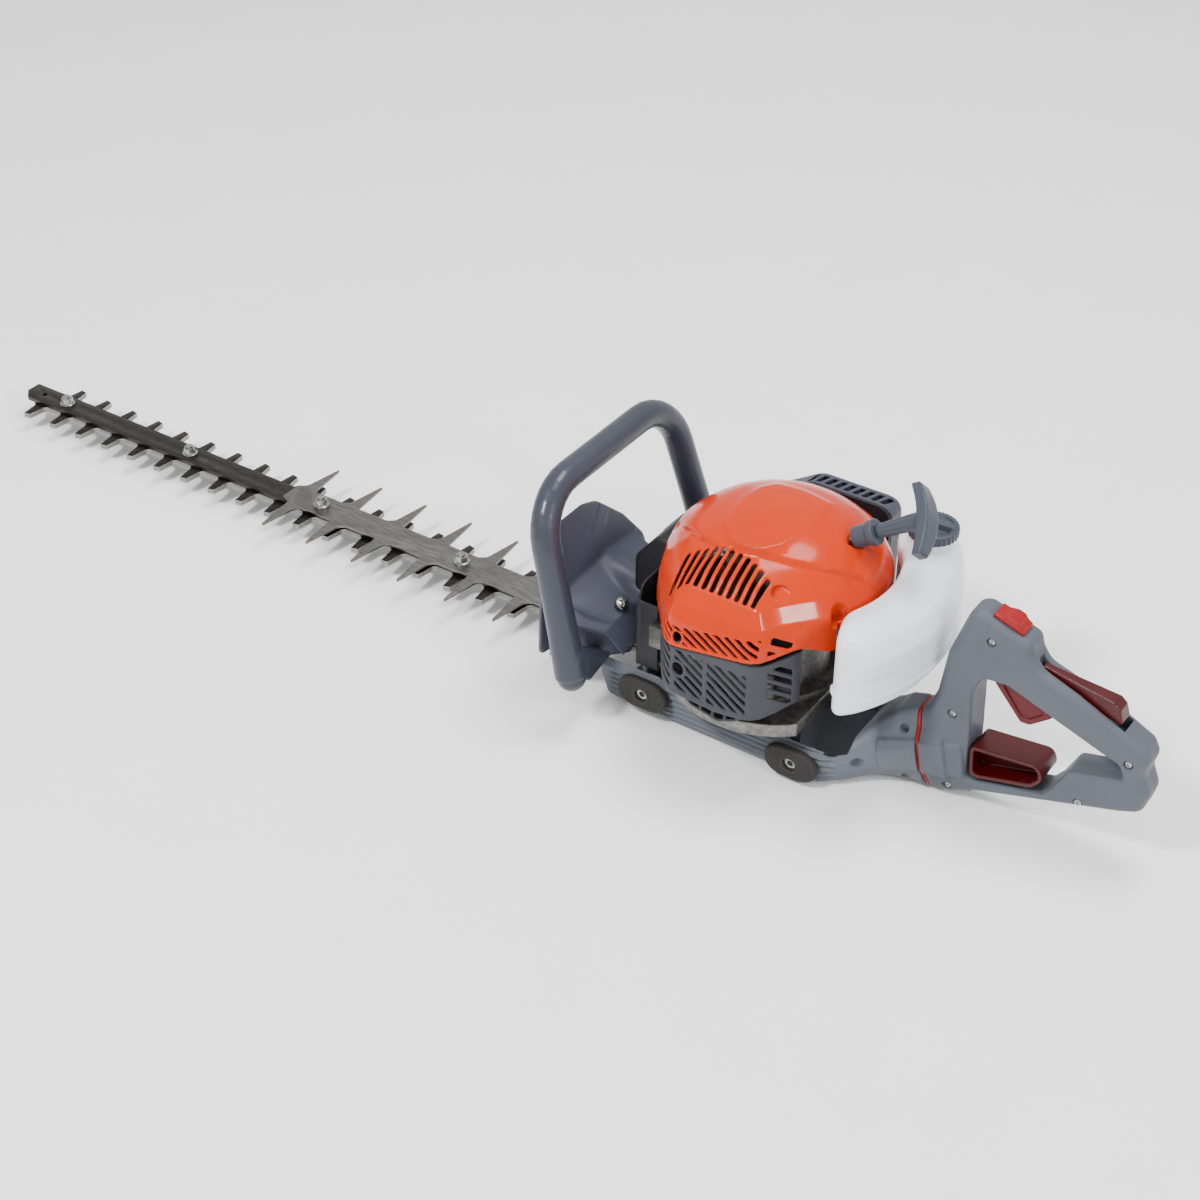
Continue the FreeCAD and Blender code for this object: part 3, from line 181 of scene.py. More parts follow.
ORANGE = plastic("orange_gloss", (192, 46, 0), 0.20, 420.0, 0.00003, 0.16, 0.03, 0.12)
HANDLE_GREY = plastic("handle_grey", (79, 83, 91), 0.50)
FRAME_GREY = plastic("frame_grey", (90, 94, 102), 0.48)
GUARD_GREY = plastic("muffler_guard_grey", (52, 54, 60), 0.50)
BAIL_GREY = plastic("bail_grey", (51, 54, 65), 0.34, 900.0, 0.00015, 0.15)
SHIELD_GREY = plastic("shield_grey", (74, 77, 92), 0.42)
STARTER_GREY = plastic("starter_grey", (62, 67, 76), 0.36)
FILTER_GREY = plastic("filter_grey", (62, 64, 76), 0.45)
DARK = plastic("dark_plastic", (30, 30, 33), 0.50)
RED = plastic("bright_red", (140, 0, 2), 0.35, 700.0, 0.0001, 0.15, 0.04)
WINE = plastic("wine_red", (64, 0, 2), 0.34, 700.0, 0.0001, 0.15, 0.06)
TRIGGER = plastic("trigger_red", (86, 14, 19), 0.40, 700.0, 0.0001, 0.0, 0.06)
RUBBER = rubbery("rubber_pad", (42, 41, 40), 0.62)
TANK = milky("milky_tank")
COMB = metal("rolled_steel", (100, 98, 94), (134, 132, 127), 0.36, (1, 8, 8), 90.0)
BAR = metal("bar_steel", (46, 44, 41), (74, 71, 67), 0.40, (1, 10, 10), 80.0)
BLADE = bevelled_steel("blade_steel", (34, 30, 28), (60, 55, 50), (150, 147, 141))
ZINC = metal("zinc", (140, 142, 141), (182, 184, 181), 0.26, (1, 1, 1), 200.0)
CAST = metal("cast_aluminium", (104, 103, 99), (140, 139, 134), 0.46, (1, 1, 1), 220.0, 0.0002)
STEEL = metal("machined_steel", (84, 82, 79), (118, 116, 111), 0.34, (1, 1, 12), 120.0)
FOAM = rubbery("foam", (44, 44, 47), 0.85)
ROPE = rubbery("rope", (190, 188, 180), 0.70)

# ---------------------------------------------------------------- solid forms, in millimetres

MM = 1000.0  # millimetres in a metre: forms are in millimetres and meshes in metres
FAR = 1e9
TINY = 1e-9
STRAIGHT = 1.55  # half the angle of a corner that is too flat to round, in radians
MARGIN = 4  # voxels round the box that a form is meshed in
BAND = 3.0  # voxels either side of a surface in which its distances are kept
WELD = 1e-6
FLAT_ANGLE, BEVEL_ANGLE, SHARP_ANGLE = math.radians(2), math.radians(35), math.radians(40)
BEND_PIECES = 8


def length(*parts):
    total = 0.0
    for part in parts:
        total = total + part * part
    return np.sqrt(total)


def merge(a, b, soft):
    """Union of two forms with a fillet."""
    share = np.clip(0.5 + 0.5 * (b - a) / soft, 0, 1)
    return b * (1 - share) + a * share - soft * share * (1 - share)


def overlap(a, b, soft):
    """Intersection of two forms with a rounded edge."""
    return -merge(-a, -b, soft)


def remove(a, b, soft):
    """One form cut out of another, with a rounded edge."""
    return overlap(a, -b, soft)


def rounded(corners, pieces=5):
    """Corner points (u, v, radius) turned into a finer outline with round corners."""
    outline = []
    count = len(corners)
    for i, (u, v, radius) in enumerate(corners):
        here = np.array((u, v), float)
        before = np.array(corners[i - 1][:2], float) - here
        after = np.array(corners[(i + 1) % count][:2], float) - here
        before_length, after_length = np.linalg.norm(before), np.linalg.norm(after)
        before, after = before / before_length, after / after_length
        half = math.acos(np.clip(before @ after, -1, 1)) / 2
        if radius <= 0 or half > STRAIGHT:
            outline.append(tuple(here))
            continue
        reach = min(radius / math.tan(half), before_length * 0.48, after_length * 0.48)
        start, end = here + before * reach, here + after * reach
        for k in range(pieces + 1):
            t = k / pieces
            outline.append(tuple((1 - t) ** 2 * start + 2 * t * (1 - t) * here + t * t * end))
    return outline


def polygon(u, v, outline):
    """Signed distance to a closed outline."""
    nearest = np.full(np.broadcast(u, v).shape, FAR)
    inside = np.zeros(nearest.shape, bool)
    for i, (ax, ay) in enumerate(outline):
        bx, by = outline[(i + 1) % len(outline)]
        ex, ey = bx - ax, by - ay
        wx, wy = u - ax, v - ay
        t = np.clip((wx * ex + wy * ey) / max(ex * ex + ey * ey, TINY), 0, 1)
        nearest = np.minimum(nearest, (wx - ex * t) ** 2 + (wy - ey * t) ** 2)
        if ey != 0:
            inside ^= ((ay > v) != (by > v)) & (wx < ex * wy / ey)
    return np.where(inside, -1.0, 1.0) * np.sqrt(nearest)


def thick(flat, across, half, edge):
    """A flat form given a half thickness, with its edges rounded."""
    a, b = flat + edge, np.abs(across) - half + edge
    return np.minimum(np.maximum(a, b), 0) + length(np.maximum(a, 0), np.maximum(b, 0)) - edge


def block(p, low, high, edge):
    gaps = []
    for axis in range(3):
        middle, half = (low[axis] + high[axis]) / 2, (high[axis] - low[axis]) / 2
        gaps.append(np.abs(p[axis] - middle) - half + edge)
    outside = length(*[np.maximum(g, 0) for g in gaps])
    return outside + np.minimum(np.maximum(np.maximum(gaps[0], gaps[1]), gaps[2]), 0) - edge


def along_axis(p, start, end):
    """Distance along the line from start, and off it."""
    start, end = np.array(start, float), np.array(end, float)
    unit = (end - start) / np.linalg.norm(end - start)
    offset = [p[i] - start[i] for i in range(3)]
    t = offset[0] * unit[0] + offset[1] * unit[1] + offset[2] * unit[2]
    square = offset[0] ** 2 + offset[1] ** 2 + offset[2] ** 2 - t * t
    return t, np.sqrt(np.maximum(square, 0)), np.linalg.norm(end - start)


def rod(p, start, end, radius, edge=0.8):
    t, off, full = along_axis(p, start, end)
    return thick(off - radius, t - full / 2, full / 2, edge)


def capsule(p, start, end, radius):
    start, end = np.array(start, float), np.array(end, float)
    step = end - start
    offset = [p[i] - start[i] for i in range(3)]
    t = sum(offset[i] * step[i] for i in range(3)) / (step @ step)
    t = np.clip(t, 0, 1)
    return length(*[offset[i] - step[i] * t for i in range(3)]) - radius


def chain(p, points, radius):
    """A round bar through a row of points."""
    form = None
    for start, end in zip(points[:-1], points[1:]):
        piece = capsule(p, start, end, radius)
        form = piece if form is None else np.minimum(form, piece)
    return form


def dimple(p, centre, normal, radius, depth):
    """A flat-bottomed round recess."""
    normal = np.array(normal, float) / np.linalg.norm(normal)
    centre = np.array(centre, float)
    return rod(p, centre - normal * depth, centre + normal * 12, radius, 0.5)


def mould(name, low, high, step, form):
    """Meshes the surface on which form(p) is zero inside a box."""
    axes = [np.arange(low[i] - MARGIN * step, high[i] + (MARGIN + 1) * step, step) for i in range(3)]
    p = (axes[0][:, None, None], axes[1][None, :, None], axes[2][None, None, :])
    band = BAND * step
    values = np.broadcast_to(form(p), tuple(len(a) for a in axes))
    values = np.ascontiguousarray(np.clip(values, -band, band), dtype=np.float32)
    grid = openvdb.FloatGrid(band)
    grid.copyFromArray(values)
    points, quads = grid.convertToQuads()
    points = (points * step + [a[0] for a in axes]) / MM
    corners = points[quads]
    flux = np.cross(corners[:, 1] - corners[:, 0], corners[:, 2] - corners[:, 0])
    if (flux * corners[:, 0]).sum() < 0:
        quads = quads[:, ::-1]
    mesh = bpy.data.meshes.new(name)
    mesh.vertices.add(len(points))
    mesh.vertices.foreach_set("co", points.astype(np.float32).ravel())
    mesh.loops.add(quads.size)
    mesh.loops.foreach_set("vertex_index", quads.astype(np.int32).ravel())
    mesh.polygons.add(len(quads))
    mesh.polygons.foreach_set("loop_start", np.arange(0, quads.size, 4, dtype=np.int32))
    mesh.update(calc_edges=True)
    mesh.validate()
    mesh.shade_smooth()
    piece = bpy.data.objects.new(name, mesh)
    bpy.context.scene.collection.objects.link(piece)
    return piece


def finish_piece(piece, material, body, *replaced):
    piece.data.materials.clear()
    piece.data.materials.append(material)
    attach(piece, body)
    if replaced:
        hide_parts(*replaced)
    return piece


def shape(name, low, high, step, form, material, body, *replaced):
    """A form meshed inside a box and finished as a piece."""
    return finish_piece(mould(name, low, high, step, form), material, body, *replaced)


def crisp(node, material, width, body):
    """A copy of a CAD node with its edges broken by a small bevel."""
    mesh = nodes[node].data.copy()
    piece = bpy.data.objects.new(node + "_edged", mesh)
    bpy.context.scene.collection.objects.link(piece)
    work = bmesh.new()
    work.from_mesh(mesh)
    bmesh.ops.remove_doubles(work, verts=work.verts, dist=WELD)
    bmesh.ops.dissolve_limit(work, angle_limit=FLAT_ANGLE, verts=work.verts, edges=work.edges)
    work.to_mesh(mesh)
    work.free()
    modifier = piece.modifiers.new("edge", "BEVEL")
    modifier.width = width / MM
    modifier.segments = 2
    modifier.limit_method = "ANGLE"
    modifier.angle_limit = BEVEL_ANGLE
    modifier.use_clamp_overlap = True
    depsgraph = bpy.context.evaluated_depsgraph_get()
    made = bpy.data.meshes.new_from_object(piece.evaluated_get(depsgraph))
    piece.modifiers.clear()
    piece.data = made
    made.shade_smooth()
    made.set_sharp_from_angle(angle=SHARP_ANGLE)
    return finish_piece(piece, material, body, node)


SWIVEL = np.array((146.0, 0.0, 40.0))
TILT = math.radians(11.5)
GUIDE = np.array((60.0, 11.5, 193.0))
PULL_LINE = np.array((0.845, 0.142, 0.516))


def swivel_coordinates(p):
    """Distance along the swivel's axis, sideways, and up from it."""
    along = (p[0] - SWIVEL[0]) * math.cos(TILT) + (p[2] - SWIVEL[2]) * math.sin(TILT)
    up = -(p[0] - SWIVEL[0]) * math.sin(TILT) + (p[2] - SWIVEL[2]) * math.cos(TILT)
    return along, p[1], up


SWIVEL_SECTION = rounded([
    (-12, 35, 7), (12, 35, 7), (15.5, 22, 6), (22, 12, 8), (22, -14, 10), (11, -38, 8),
    (-11, -38, 8), (-22, -14, 10), (-22, 12, 8), (-15.5, 22, 6)])


def barrel_band(along, up, side):
    """Where both halves of the swivel stand proud, round its axis: 1 inside the band and 0 outside."""
    tall = np.clip((16.0 - np.abs(up + 3)) / 1.6, 0, 1)
    long = np.clip((34 - np.abs(along - 2)) / 2.5, 0, 1)
    return tall * long * np.clip((side - 5) / 4, 0, 1)


# ---------------------------------------------------------------- engine cover


SEAM_LEVEL = 128.0
SEAM_RISE = 0.16
COVER_WALL = 2.6
PLUG_DEPTH = 0.3  # how far a plug behind the cover stays under its face
VENTS, VENT_PITCH, VENT_FRONT = 11, 7.3, -87
LOUVRES, LOUVRE_PITCH = 13, 6.5
LOUVRE_LEAN, LOUVRE_SPREAD = 0.72, 1.23
COVER_OVAL = (-27, 137)


def seam_height(x, y):
    """The joint between the cover and the guard climbs to the rear along the near side."""
    return SEAM_LEVEL + SEAM_RISE * np.clip(x, -60, 60) * np.clip((-y - 50) / 20, 0, 1)


def cover_outer(p):
    x, y, z = p
    radius = length(x, y)
    rim = rounded([
        (-95, 120, 0), (91, 120, 0), (91, 157, 14), (80, 172, 30), (66, 184.5, 60), (50, 193.5, 80),
        (28, 200, 80), (0, 202.4, 60), (-28, 200, 0), (-95, 200, 0)], 8)
    dome = polygon(radius, z, rim)
    plan = rounded([
        (-38, -107.5, 26), (44, -107.5, 22), (74, -52, 26), (74, 40, 30), (54, 78, 30),
        (-48, 78, 30), (-76, 34, 24), (-80, -54, 26)])
    inset = np.interp(z, (120, 134, 148, 160, 172, 182, 190, 196), (0, 0.4, 2.5, 8, 17, 29, 44, 62))
    slope = np.interp(z, (120, 140, 150, 165, 180, 195), (1.0, 1.0, 0.95, 0.82, 0.62, 0.42))
    shroud = (polygon(x, y, plan) + inset) * slope
    body = merge(dome, np.maximum(shroud, z - 197), 9)
    edge_line = np.interp(
        x, (-80, -67, -42, -16, 12, 35, 57, 80), (-20, -33.5, -50, -60, -54, -45, -33, -10))
    raised = np.clip((y - edge_line) * 0.8 / 3.0 + 0.5, 0, 1) * np.clip((92 - radius) / 10, 0, 1)
    raised = raised * raised * (3 - 2 * raised)
    body = body - 3.2 * raised
    return overlap(body, y - 78, 5)


def backed(shell, plug, outer):
    """A shell with a plug behind its face."""
    return np.minimum(shell, np.maximum(plug, outer + PLUG_DEPTH))


def cover_form(p):
    x, y, z = p
    outer = cover_outer(p)
    shell = overlap(outer, -(outer + COVER_WALL), 0.5)
    seam = seam_height(x, y)
    shell = overlap(shell, seam + 0.2 - z, 0.6)
    level = z - seam + SEAM_LEVEL
    for i in range(VENTS):
        middle = -45.0 + VENT_PITCH * i
        back = -59.5 - 2.4 * max(i - 7, 0) - 1.4 * max(2 - i, 0)
        half_long = (back - VENT_FRONT) / 2
        slot = length(x - middle, np.maximum(np.abs(y - (back + VENT_FRONT) / 2) - half_long, 0)) - 1.9
        shell = remove(shell, np.maximum(slot, 152 - z), 0.7)
    oval_x, oval_z = COVER_OVAL
    clear_of_oval = 6.5 - length(x - oval_x, level - oval_z)
    limits = np.maximum(np.maximum(131.5 - level, level - 146.5), np.maximum(-47 - x, x - 42))
    limits = np.maximum(limits, y + 88)
    leaning = level + LOUVRE_LEAN * (x + 40)
    for i in range(LOUVRES):
        gap = np.abs(leaning - (134.0 + LOUVRE_PITCH * i)) / LOUVRE_SPREAD - 1.35
        shell = remove(shell, np.maximum(np.maximum(gap, limits), clear_of_oval), 0.7)
    oval = length((x - oval_x) / 0.8, level - oval_z) - 5.2
    shell = remove(shell, np.maximum(oval, y + 90), 0.8)
    slit = polygon(y, level, [(-99, 152), (-96.5, 152), (-76, 135), (-76, 132), (-80, 132), (-99, 146)])
    notch = polygon(y, level, [(-99, 139.5), (-89, 132), (-99, 132)])
    shell = remove(shell, np.maximum(np.minimum(slit, notch), 47 - x), 0.5)
    spot, facing = np.array((39.5, -67.2, 178.4)), np.array((0.12, -0.55, 0.83))
    shell = backed(shell, rod(p, spot - facing * 5.5, spot + facing * 8, 8.8), outer)
    shell = remove(shell, dimple(p, spot, facing, 6.6, 2.8), 0.8)
    shell = backed(shell, rod(p, (79, -41, 143), (84, -46, 196), 11.0), outer)
    head_hole = rod(p, (80, -42, 150), (84, -46, 200), 8.3)
    shank_hole = rod(p, (79.6, -41.6, 136), (80.4, -42.4, 160), 3.2)
    shell = remove(shell, np.minimum(head_hole, shank_hole), 1.5)
    return remove(shell, rod(p, GUIDE - PULL_LINE * 4, GUIDE + PULL_LINE * 30, 9.2, 0.3), 0.5)


shape("cover_shell", (-92, -109, 127), (92, 80, 208), 0.95, cover_form, ORANGE, "chassis", "engine_cover")

# ---------------------------------------------------------------- muffler guard


GUARD_OVAL = (-25, 104)
FRONT_SLOTS, FRONT_SLOT_PITCH = 12, 8.4
SIDE_SLOTS, SIDE_SLOT_PITCH = 4, 9.4
SKIRT_RIBS, SKIRT_RIB_PITCH = 7, 11.3


def muffler_guard_form(p):
    x, y, z = p
    plan = polygon(x, y, rounded([(-38, -108, 24), (44, -108, 20), (66, -58, 12), (-74, -58, 12)]))
    wall = np.maximum(np.abs(plan + 1.3) - 1.3, y + 60)
    low = np.interp(x, (-70, -40, 10, 64), (88, 80, 77, 84))
    shell = overlap(overlap(wall, z - seam_height(x, y) + 0.1, 0.5), low - z, 1.0)
    oval_x, oval_z = GUARD_OVAL
    clear_of_oval = 8.5 - length(x - oval_x, z - oval_z)
    panels = np.minimum(np.minimum(np.abs(x + 42) - 9.5, np.abs(x + 15) - 12.5), np.abs(x - 19) - 17)
    leaning = z + 0.70 * x
    for i in range(FRONT_SLOTS):
        gap = np.abs(leaning - (62.0 + FRONT_SLOT_PITCH * i)) / 1.22 - 1.65
        slot = np.maximum(np.maximum(gap, panels), np.maximum(low + 5 - z, z - 122))
        slot = np.maximum(slot, clear_of_oval)
        shell = remove(shell, np.maximum(slot, y + 66), 0.8)
    for i in range(SIDE_SLOTS):
        gap = np.abs(z + 0.75 * (y + 85) - (95.0 + SIDE_SLOT_PITCH * i)) / 1.25 - 1.9
        slot = np.maximum(np.maximum(gap, np.abs(y + 85) - 11.0), np.maximum(87 - z, z - 126))
        slot = np.maximum(slot, 44 - x)
        shell = remove(shell, np.maximum(slot, y + 62), 0.8)
    oval = length((x - oval_x) / 0.85, z - oval_z) - 6.0
    shell = remove(shell, np.maximum(oval, y + 85), 0.8)
    edge = np.interp(x, (-36, -20, 4, 20, 34), (72, 60, 55, 62, 74))
    wide, deep = np.abs(x) - 36, np.abs(y + 89.5) - 4.0
    tall = np.maximum(edge - z, z - 80)
    skirt = np.maximum(np.abs(y + 86) - 1.2, np.maximum(wide, tall))
    for i in range(SKIRT_RIBS):
        rib_x = -34.5 + SKIRT_RIB_PITCH * i
        skirt = np.minimum(skirt, np.maximum(np.abs(x - rib_x) - 1.3, np.maximum(deep, tall)))
    rim = np.maximum(np.abs(z - edge - 1.2) - 1.4, np.maximum(wide, deep))
    shelf = np.maximum(np.abs(z - low - 1.3) - 1.3, np.maximum(plan, y + 83))
    return merge(merge(shell, np.minimum(skirt, rim), 1.0), shelf, 1.0)


shape("muffler_guard_shell", (-76, -110, 54), (68, -56, 129), 0.75, muffler_guard_form,
      GUARD_GREY, "chassis", "muffler_guard")

# ---------------------------------------------------------------- fuel tank and cap


CAP_AT = (98, 70)
CAP_FLUTES = 30


def tank_form(p):
    x, y, z = p
    radius = length(x, y)
    profile = rounded([
        (97, 99, 4), (126, 93, 10), (140, 104, 12), (146, 122, 14), (146, 152, 10),
        (137, 167, 14), (116, 173, 20), (97, 167, 4)])
    body = polygon(radius, z, profile)
    plan = polygon(x, y, rounded([
        (77, -30, 0), (98, -86, 14), (200, -86, 0), (200, 102, 0), (106, 102, 22), (66, 70, 0), (40, 0, 0)]))
    body = overlap(body, plan, 10)
    crease = np.interp(radius, (97, 125, 146), (0, 0, 1))
    seam = np.maximum(np.abs(z - 119) - 1.4, 0)
    rib = length(np.maximum(body - 1.6, 0), seam) - 0.3
    body = merge(body, np.where(radius > 120, rib, 9.0), 1.2)
    body = remove(body, length(radius - 147.5, z - 131 - 6 * crease) - 2.6, 2.0)
    swell = rod(p, (*CAP_AT, 150), (*CAP_AT, 171), 24, 8)
    neck = rod(p, (*CAP_AT, 160), (*CAP_AT, 178), 18.5, 1.5)
    body = merge(body, overlap(swell, plan, 4), 9)
    body = merge(body, neck, 3)
    return overlap(body, z - 178, 0.8)


shape("tank_shell", (64, -92, 91), (148, 105, 179), 0.95, tank_form, TANK, "chassis", "fuel_tank")


def cap_form(p):
    x, y, z = p[0] - CAP_AT[0], p[1] - CAP_AT[1], p[2]
    turn = np.arctan2(y, x)
    radius = length(x, y) - 0.35 * np.cos(CAP_FLUTES * turn)
    disc = thick(radius - 20.2, z - 182.6, 4.2, 1.4)
    disc = remove(disc, thick(length(x, y) - 15.8, z - 189.0, 4.2, 1.2), 0.8)
    bar_plan = rounded([(-16.5, -3.0, 1), (16.5, -3.0, 1), (16.5, 3.0, 1), (-16.5, 3.0, 1)])
    bar = thick(polygon(x, y, bar_plan), z - 187.0, 4.6, 1.0)
    plug = thick(length(x, y) - 13.2, z - 175, 5, 0.5)
    return merge(merge(disc, bar, 1.5), plug, 0.8)


shape("cap_knurled", (77, 49, 169), (119, 91, 193), 0.6, cap_form, STARTER_GREY, "tank_cap", "fuel_cap")

# ---------------------------------------------------------------- base frame and swivel


FRAME_RIB_PITCH = 5.2
BARREL_PROUD = 2.4
FRAME_HOLES = ((104, 24, 4.5, 38.5), (131, 57, 3.6, 16), (136, 10, 3.4, 14))


def frame_form(p):
    x, y, z = p
    side = np.abs(y)
    wide = np.interp(x, (-130, 66, 80, 92, 104, 116, 128, 142), (60, 60, 58.5, 53, 43, 34, 27, 22.5))
    low = np.interp(x, (-130, -116, 96, 124, 142), (5, 2, 1, 2.5, 3))
    high = np.interp(x, (-130, -74, -66, 10, 84, 98, 110, 122, 134, 150),
                     (44, 45, 39, 38, 36, 43, 56, 68, 74, 78))
    blend = np.clip((x - 78) / 34, 0, 1)
    share = (z - low) / (high - low)
    rail = np.interp(share, (0, 0.12, 0.75, 1), (0.95, 1.0, 1.0, 0.86))
    neck = np.interp(share, (0, 0.1, 0.35, 0.55, 0.8, 1), (0.55, 0.84, 1.0, 1.0, 0.76, 0.5))
    face = (side - wide * (rail * (1 - blend) + neck * blend)) * 0.92
    window = np.clip((x + 122) / 4, 0, 1) * np.clip((92 - x) / 6, 0, 1)
    window = window * np.clip((z - 3) / 2, 0, 1) * np.clip((32 - z) / 2, 0, 1)
    face = face + window * (1.1 - 1.1 * np.cos((z - 5.6) * 2 * math.pi / FRAME_RIB_PITCH))
    body = overlap(overlap(face, z - high, 5), low - z, 3)
    body = overlap(body, -(x + 129 - np.clip(26 - z, 0, 30) * 0.35), 1.5)
    tub = np.maximum(np.maximum(side - (wide - 5.5), 6.2 - z), np.maximum(x - 96, -140 - x))
    body = remove(body, tub, 1.5)
    belly = np.maximum(np.maximum(side - 47.8, z - 8.4), np.maximum(x - 90.4, -123 - x))
    body = remove(body, belly, 0.4)
    along, across, up = swivel_coordinates(p)
    body = body - BARREL_PROUD * barrel_band(along, up, side)
    body = overlap(body, along + 1.6, 0.4)
    body = remove(body, np.maximum(length(across, up) - 18.4, -26.5 - along), 0.3)
    for x0, z0, radius, bottom in FRAME_HOLES:
        spot = np.maximum(length(x - x0, z - z0) - radius, 16 - side)
        body = remove(body, np.maximum(spot, bottom - side), 0.8)
    return body


shape("frame_moulding", (-131, -62, 0), (153, 62, 78), 0.95, frame_form,
      FRAME_GREY, "chassis", "frame_left", "frame_right")


def ring_form(p):
    along, across, up = swivel_coordinates(p)
    band = thick(polygon(across, up, SWIVEL_SECTION) - 0.7, along, 1.45, 0.4)
    return remove(band, length(across, up) - 14.4, 0.2)


shape("swivel_seal", (136, -24, 1), (156, 24, 76), 0.55, ring_form, RED, "chassis", "swivel_ring")


BUMPERS = ((-84.0, 25.0), (57.0, 18.0))
BUMPER_SEAT = 0.0624  # metres from the middle plane
BUMPER_RIB_PITCH = 2.6


def bumper_form(p):
    x, y, z = p
    oval = length(np.maximum(np.abs(x) - 7.0, 0) * 0.86, z) - 14.6
    pad = thick(oval, y, 6.6, 3.5)
    ribs = np.clip((-y - 3) / 2, 0, 1) * np.clip((-oval - 2.2) / 1.0, 0, 1)
    ribs = ribs * np.clip((length(x, z) - 8.5) / 1.0, 0, 1)
    pad = pad + ribs * (0.5 - 0.5 * np.cos(z * 2 * math.pi / BUMPER_RIB_PITCH))
    pad = remove(pad, rod(p, (0, -3.0, 0), (0, -12, 0), 5.6, 0.5), 1.0)
    return np.maximum(pad, y)


for index, (x0, z0) in enumerate(BUMPERS):
    for place, side, half_turn in (("near", -1, 0.0), ("far", 1, math.pi)):
        piece = mould(f"bumper_{index}_{place}", (-24, -8, -16), (24, 1, 16), 0.6, bumper_form)
        turn = Matrix.Rotation(half_turn, 4, "Z")
        piece.data.transform(Matrix.Translation((x0 / MM, side * BUMPER_SEAT, z0 / MM)) @ turn)
        finish_piece(piece, RUBBER, "chassis", "bumpers")


def screw_form(p):
    """A pan head of radius 1 with a cross recess, facing +Z."""
    x, y, z = p
    head = thick(length(x, y) - 1.0, z - 0.1, 0.32, 0.12)
    head = np.maximum(head, length(x, y, z + 1.3) - 1.72)
    for a, b in ((x, y), (y, x)):
        slot = np.maximum(np.abs(a) - 0.12, np.abs(b) - 0.62)
        head = remove(head, np.maximum(slot, 0.08 - z), 0.05)
    return head


SCREW_TURN = 0.5  # radians that the cross recess is turned by
SCREW = mould("screw_pattern", (-1.1, -1.1, -0.3), (1.1, 1.1, 0.5), 0.045, screw_form)


def place_screw(name, spot, normal, radius, body, *replaced):
    piece = bpy.data.objects.new(name, SCREW.data.copy())
    bpy.context.scene.collection.objects.link(piece)
    turn = Vector((0, 0, 1)).rotation_difference(Vector(normal).normalized()).to_matrix().to_4x4()
    place = Matrix.Translation(Vector(spot) / MM)
    piece.data.transform(place @ turn @ Matrix.Scale(radius, 4) @ Matrix.Rotation(SCREW_TURN, 4, "Z"))
    return finish_piece(piece, ZINC, body, *replaced)


# ---------------------------------------------------------------- front handle and hand guard


def bent(points, radius):
    """Points along a path with its corners rounded."""
    path = [np.array(points[0], float)]
    for i in range(1, len(points) - 1):
        here = np.array(points[i], float)
        before = np.array(points[i - 1], float) - here
        after = np.array(points[i + 1], float) - here
        before, after = before / np.linalg.norm(before), after / np.linalg.norm(after)
        half = math.acos(before @ after) / 2
        reach = radius / math.tan(half)
        middle = before + after
        middle = here + middle / np.linalg.norm(middle) * (radius / math.sin(half))
        start, end = here + before * reach - middle, here + after * reach - middle
        sweep = math.acos(np.clip(start @ end / radius ** 2, -1, 1))
        for k in range(BEND_PIECES + 1):
            t = k / BEND_PIECES
            arm = math.sin((1 - t) * sweep) * start + math.sin(t * sweep) * end
            path.append(middle + arm / math.sin(sweep))
    path.append(np.array(points[-1], float))
    return path


TOP = np.array((-166.6, 93.5, 202.0))
LEG = np.array((0.274, 0.095, -1.0))
LEG_LENGTH, FLARE_FROM = 150, 60
BAIL_RADIUS = 12.0
BAIL_BEND = 46.0


def bail_form(p):
    mirrored = (p[0], np.abs(p[1]), p[2])
    foot = TOP + LEG * LEG_LENGTH
    path = bent([(TOP[0], -40, TOP[2]), tuple(TOP), tuple(foot)], BAIL_BEND)
    path[0] = np.array((TOP[0], -1.0, TOP[2]))
    bar = chain(mirrored, path, BAIL_RADIUS)
    t, off, full = along_axis(mirrored, TOP + LEG * FLARE_FROM, foot)
    flare = thick(off - BAIL_RADIUS - 1.6 * np.clip(t / full, 0, 1) ** 2, t - full / 2, full / 2, 2)
    bar = np.minimum(bar, flare)
    x, y, z = mirrored
    gusset = polygon(y, z, rounded([
        (62, 34, 2), (92, 40, 4), (104, 52, 6), (112, 72, 6), (98, 76, 6), (80, 62, 10), (60, 50, 4)]))
    bracket = thick(gusset, x + 127.5, 9.0, 2)
    hollow = thick(polygon(y, z, rounded([(66, 38, 1), (88, 43, 3), (92, 54, 4), (80, 58, 5), (66, 48, 2)])),
                   x + 134, 8.5, 1)
    bar = merge(bar, remove(bracket, hollow, 1), 5)
    foot_cut = y * 0.25 + z - 62.5
    return overlap(bar, -foot_cut, 1.5)


shape("bail_tube", (-180, -121, 30), (-112, 121, 219), 1.15, bail_form, BAIL_GREY, "chassis", "front_handle")


SHIELD_REAR = 112.6
BLISTER_OUTER, BLISTER_INNER = 15.5, 13.2


